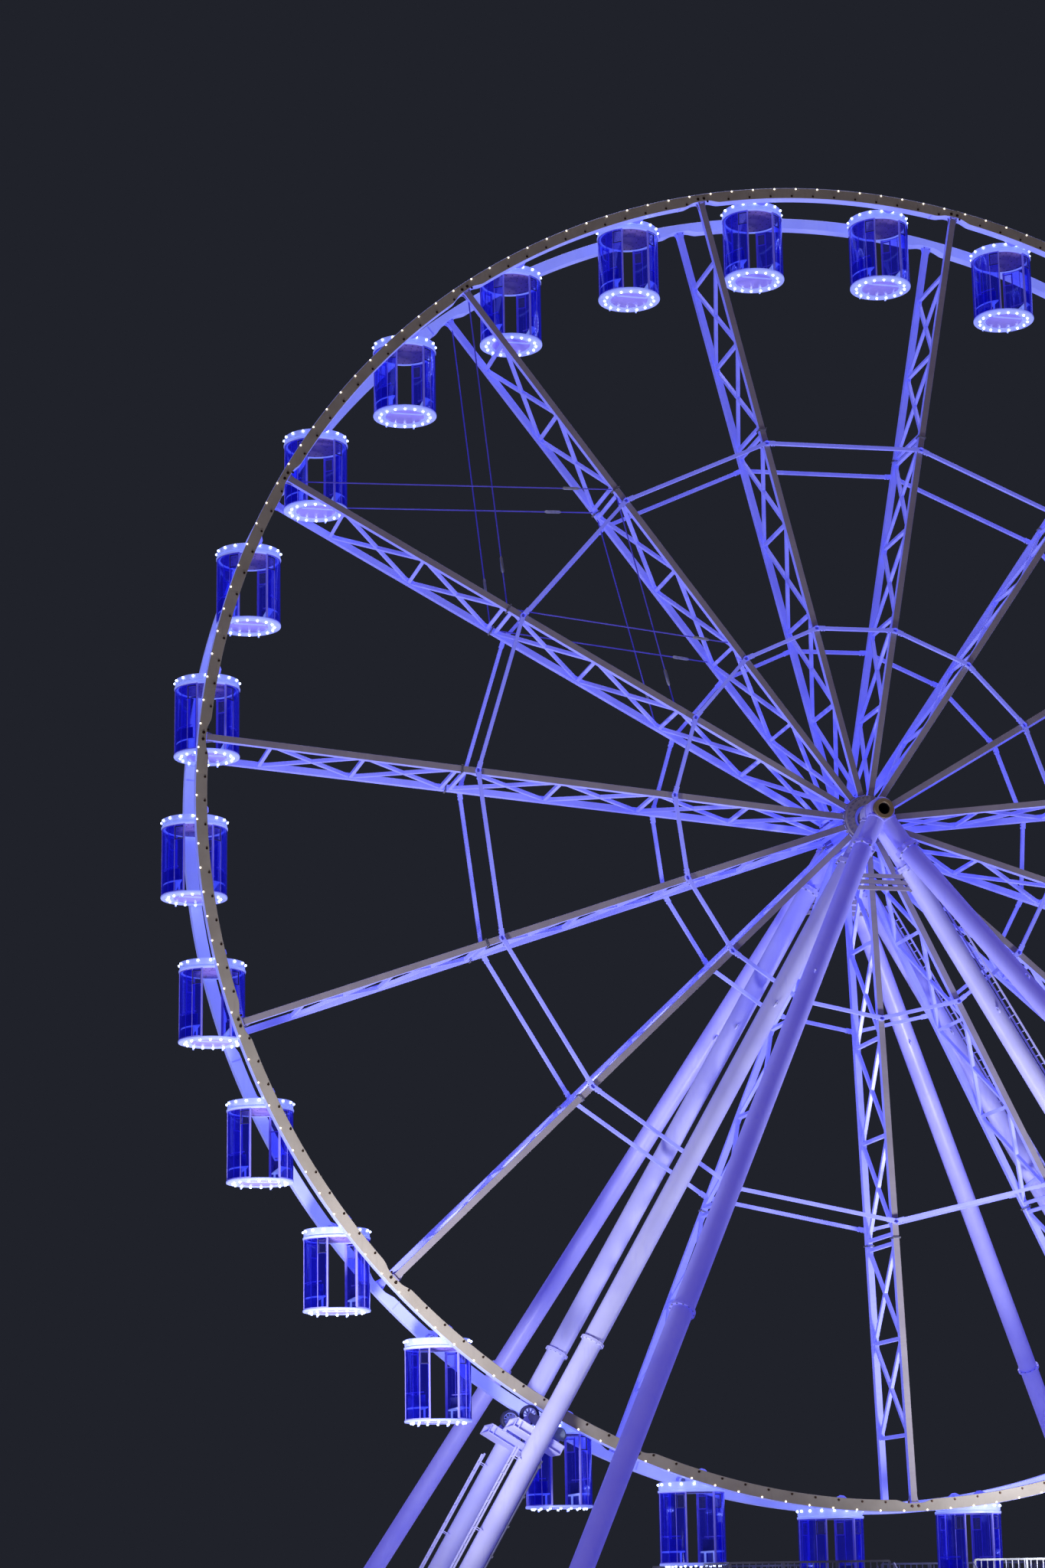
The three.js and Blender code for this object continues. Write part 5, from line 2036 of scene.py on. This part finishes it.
@dataclass
class Studio:
    """Camera, pale floor, plain backdrop and soft lights."""

    position: tuple[float, float, float] = (-17.920, -49.878, 0.803)
    right: tuple[float, float, float] = (0.97179, -0.2354, -0.01618)
    down: tuple[float, float, float] = (0.04195, 0.2397, -0.96993)
    forward: tuple[float, float, float] = (0.23221, 0.9419, 0.24275)
    lens: float = 75.48
    floor_half: float = 220.0
    light_distance: float = 60.0

    def camera(self) -> None:
        """Places the camera where the photograph was taken from."""
        data = bpy.data.cameras.new("camera")
        data.lens = self.lens
        data.sensor_width = 36.0
        data.sensor_fit = "AUTO"
        data.clip_end = 2000.0
        camera = bpy.data.objects.new("camera", data)
        axes = Matrix((Vector(self.right), -Vector(self.down), -Vector(self.forward))).transposed()
        camera.matrix_world = Matrix.Translation(self.position) @ axes.to_4x4()
        bpy.context.scene.collection.objects.link(camera)
        bpy.context.scene.camera = camera

    def floor(self) -> None:
        """Lays the pale floor."""
        shape = Shape()
        half = self.floor_half
        shape.box((-half, -half, -0.6), (half, half, -0.001))
        mesh = shape.mesh("studio_floor", (Moulded("pale studio floor", "#d9d9de", "#cfcfd6", 0.8, 400.0),))
        floor = bpy.data.objects.new("studio_floor", mesh)
        bpy.context.scene.collection.objects.link(floor)

    def light(self) -> None:
        """Sets the backdrop, three broad soft lights from above and two soft lamps near the ground."""
        world = bpy.data.worlds.new("studio")
        world.use_nodes = True
        backdrop = world.node_tree.nodes["Background"]
        backdrop.inputs["Color"].default_value = linear("#20222a")
        backdrop.inputs["Strength"].default_value = 1.0
        bpy.context.scene.world = world
        for sun in SUNS:
            data = bpy.data.lights.new(sun.name, "SUN")
            data.energy = sun.strength
            data.color = linear(sun.colour)[:3]
            data.angle = math.radians(sun.spread)
            self.place_light(data, sun.towards() * self.light_distance, sun.towards())
        for lamp in GROUND_LAMPS:
            data = bpy.data.lights.new(lamp.name, "AREA")
            data.shape = "DISK"
            data.spread = math.radians(lamp.spread)
            data.size = lamp.size
            data.energy = lamp.watts
            data.color = linear(lamp.colour)[:3]
            self.place_light(data, Vector(lamp.place), Vector(lamp.place) - Vector(lamp.aim))

    def place_light(self, data: bpy.types.Light, place: Vector, away: Vector) -> None:
        """Puts a light in the scene so that it shines against a direction, unseen by the camera.

        Args:
            data: The light.
            place: Where it stands.
            away: Direction against its light.
        """
        lamp = bpy.data.objects.new(data.name, data)
        lamp.rotation_mode = "QUATERNION"
        lamp.rotation_quaternion = away.to_track_quat("Z", "Y")
        lamp.location = place
        lamp.visible_camera = False
        bpy.context.scene.collection.objects.link(lamp)

    def build(self) -> None:
        """Makes the floor and the lights, and shows colours as they are."""
        self.floor()
        self.light()
        bpy.context.scene.view_settings.view_transform = "Standard"


def main() -> None:
    """Builds the wheel, its cabins, the stand and the studio."""
    logging.basicConfig(level=logging.INFO, format="%(name)s: %(message)s")
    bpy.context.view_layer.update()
    studio = Studio()
    studio.camera()
    inner = Legs(Stance.INNER, 0.95, (0.505, 1.006, -0.866), (7.671, 1.166))
    outer = Legs(Stance.OUTER, 1.24, (0.380, 1.396, -0.660), (7.528, 8.019))
    spokes = Spokes()
    for assembly in (Rims(), spokes, Hoops(spokes), Braces(spokes), Hub(), Cabin(), Axle(),
                     Stand(inner, outer), Base(inner, outer), studio):
        assembly.build()
        LOG.info("%s done", type(assembly).__name__)


if __name__ == "__main__":
    main()
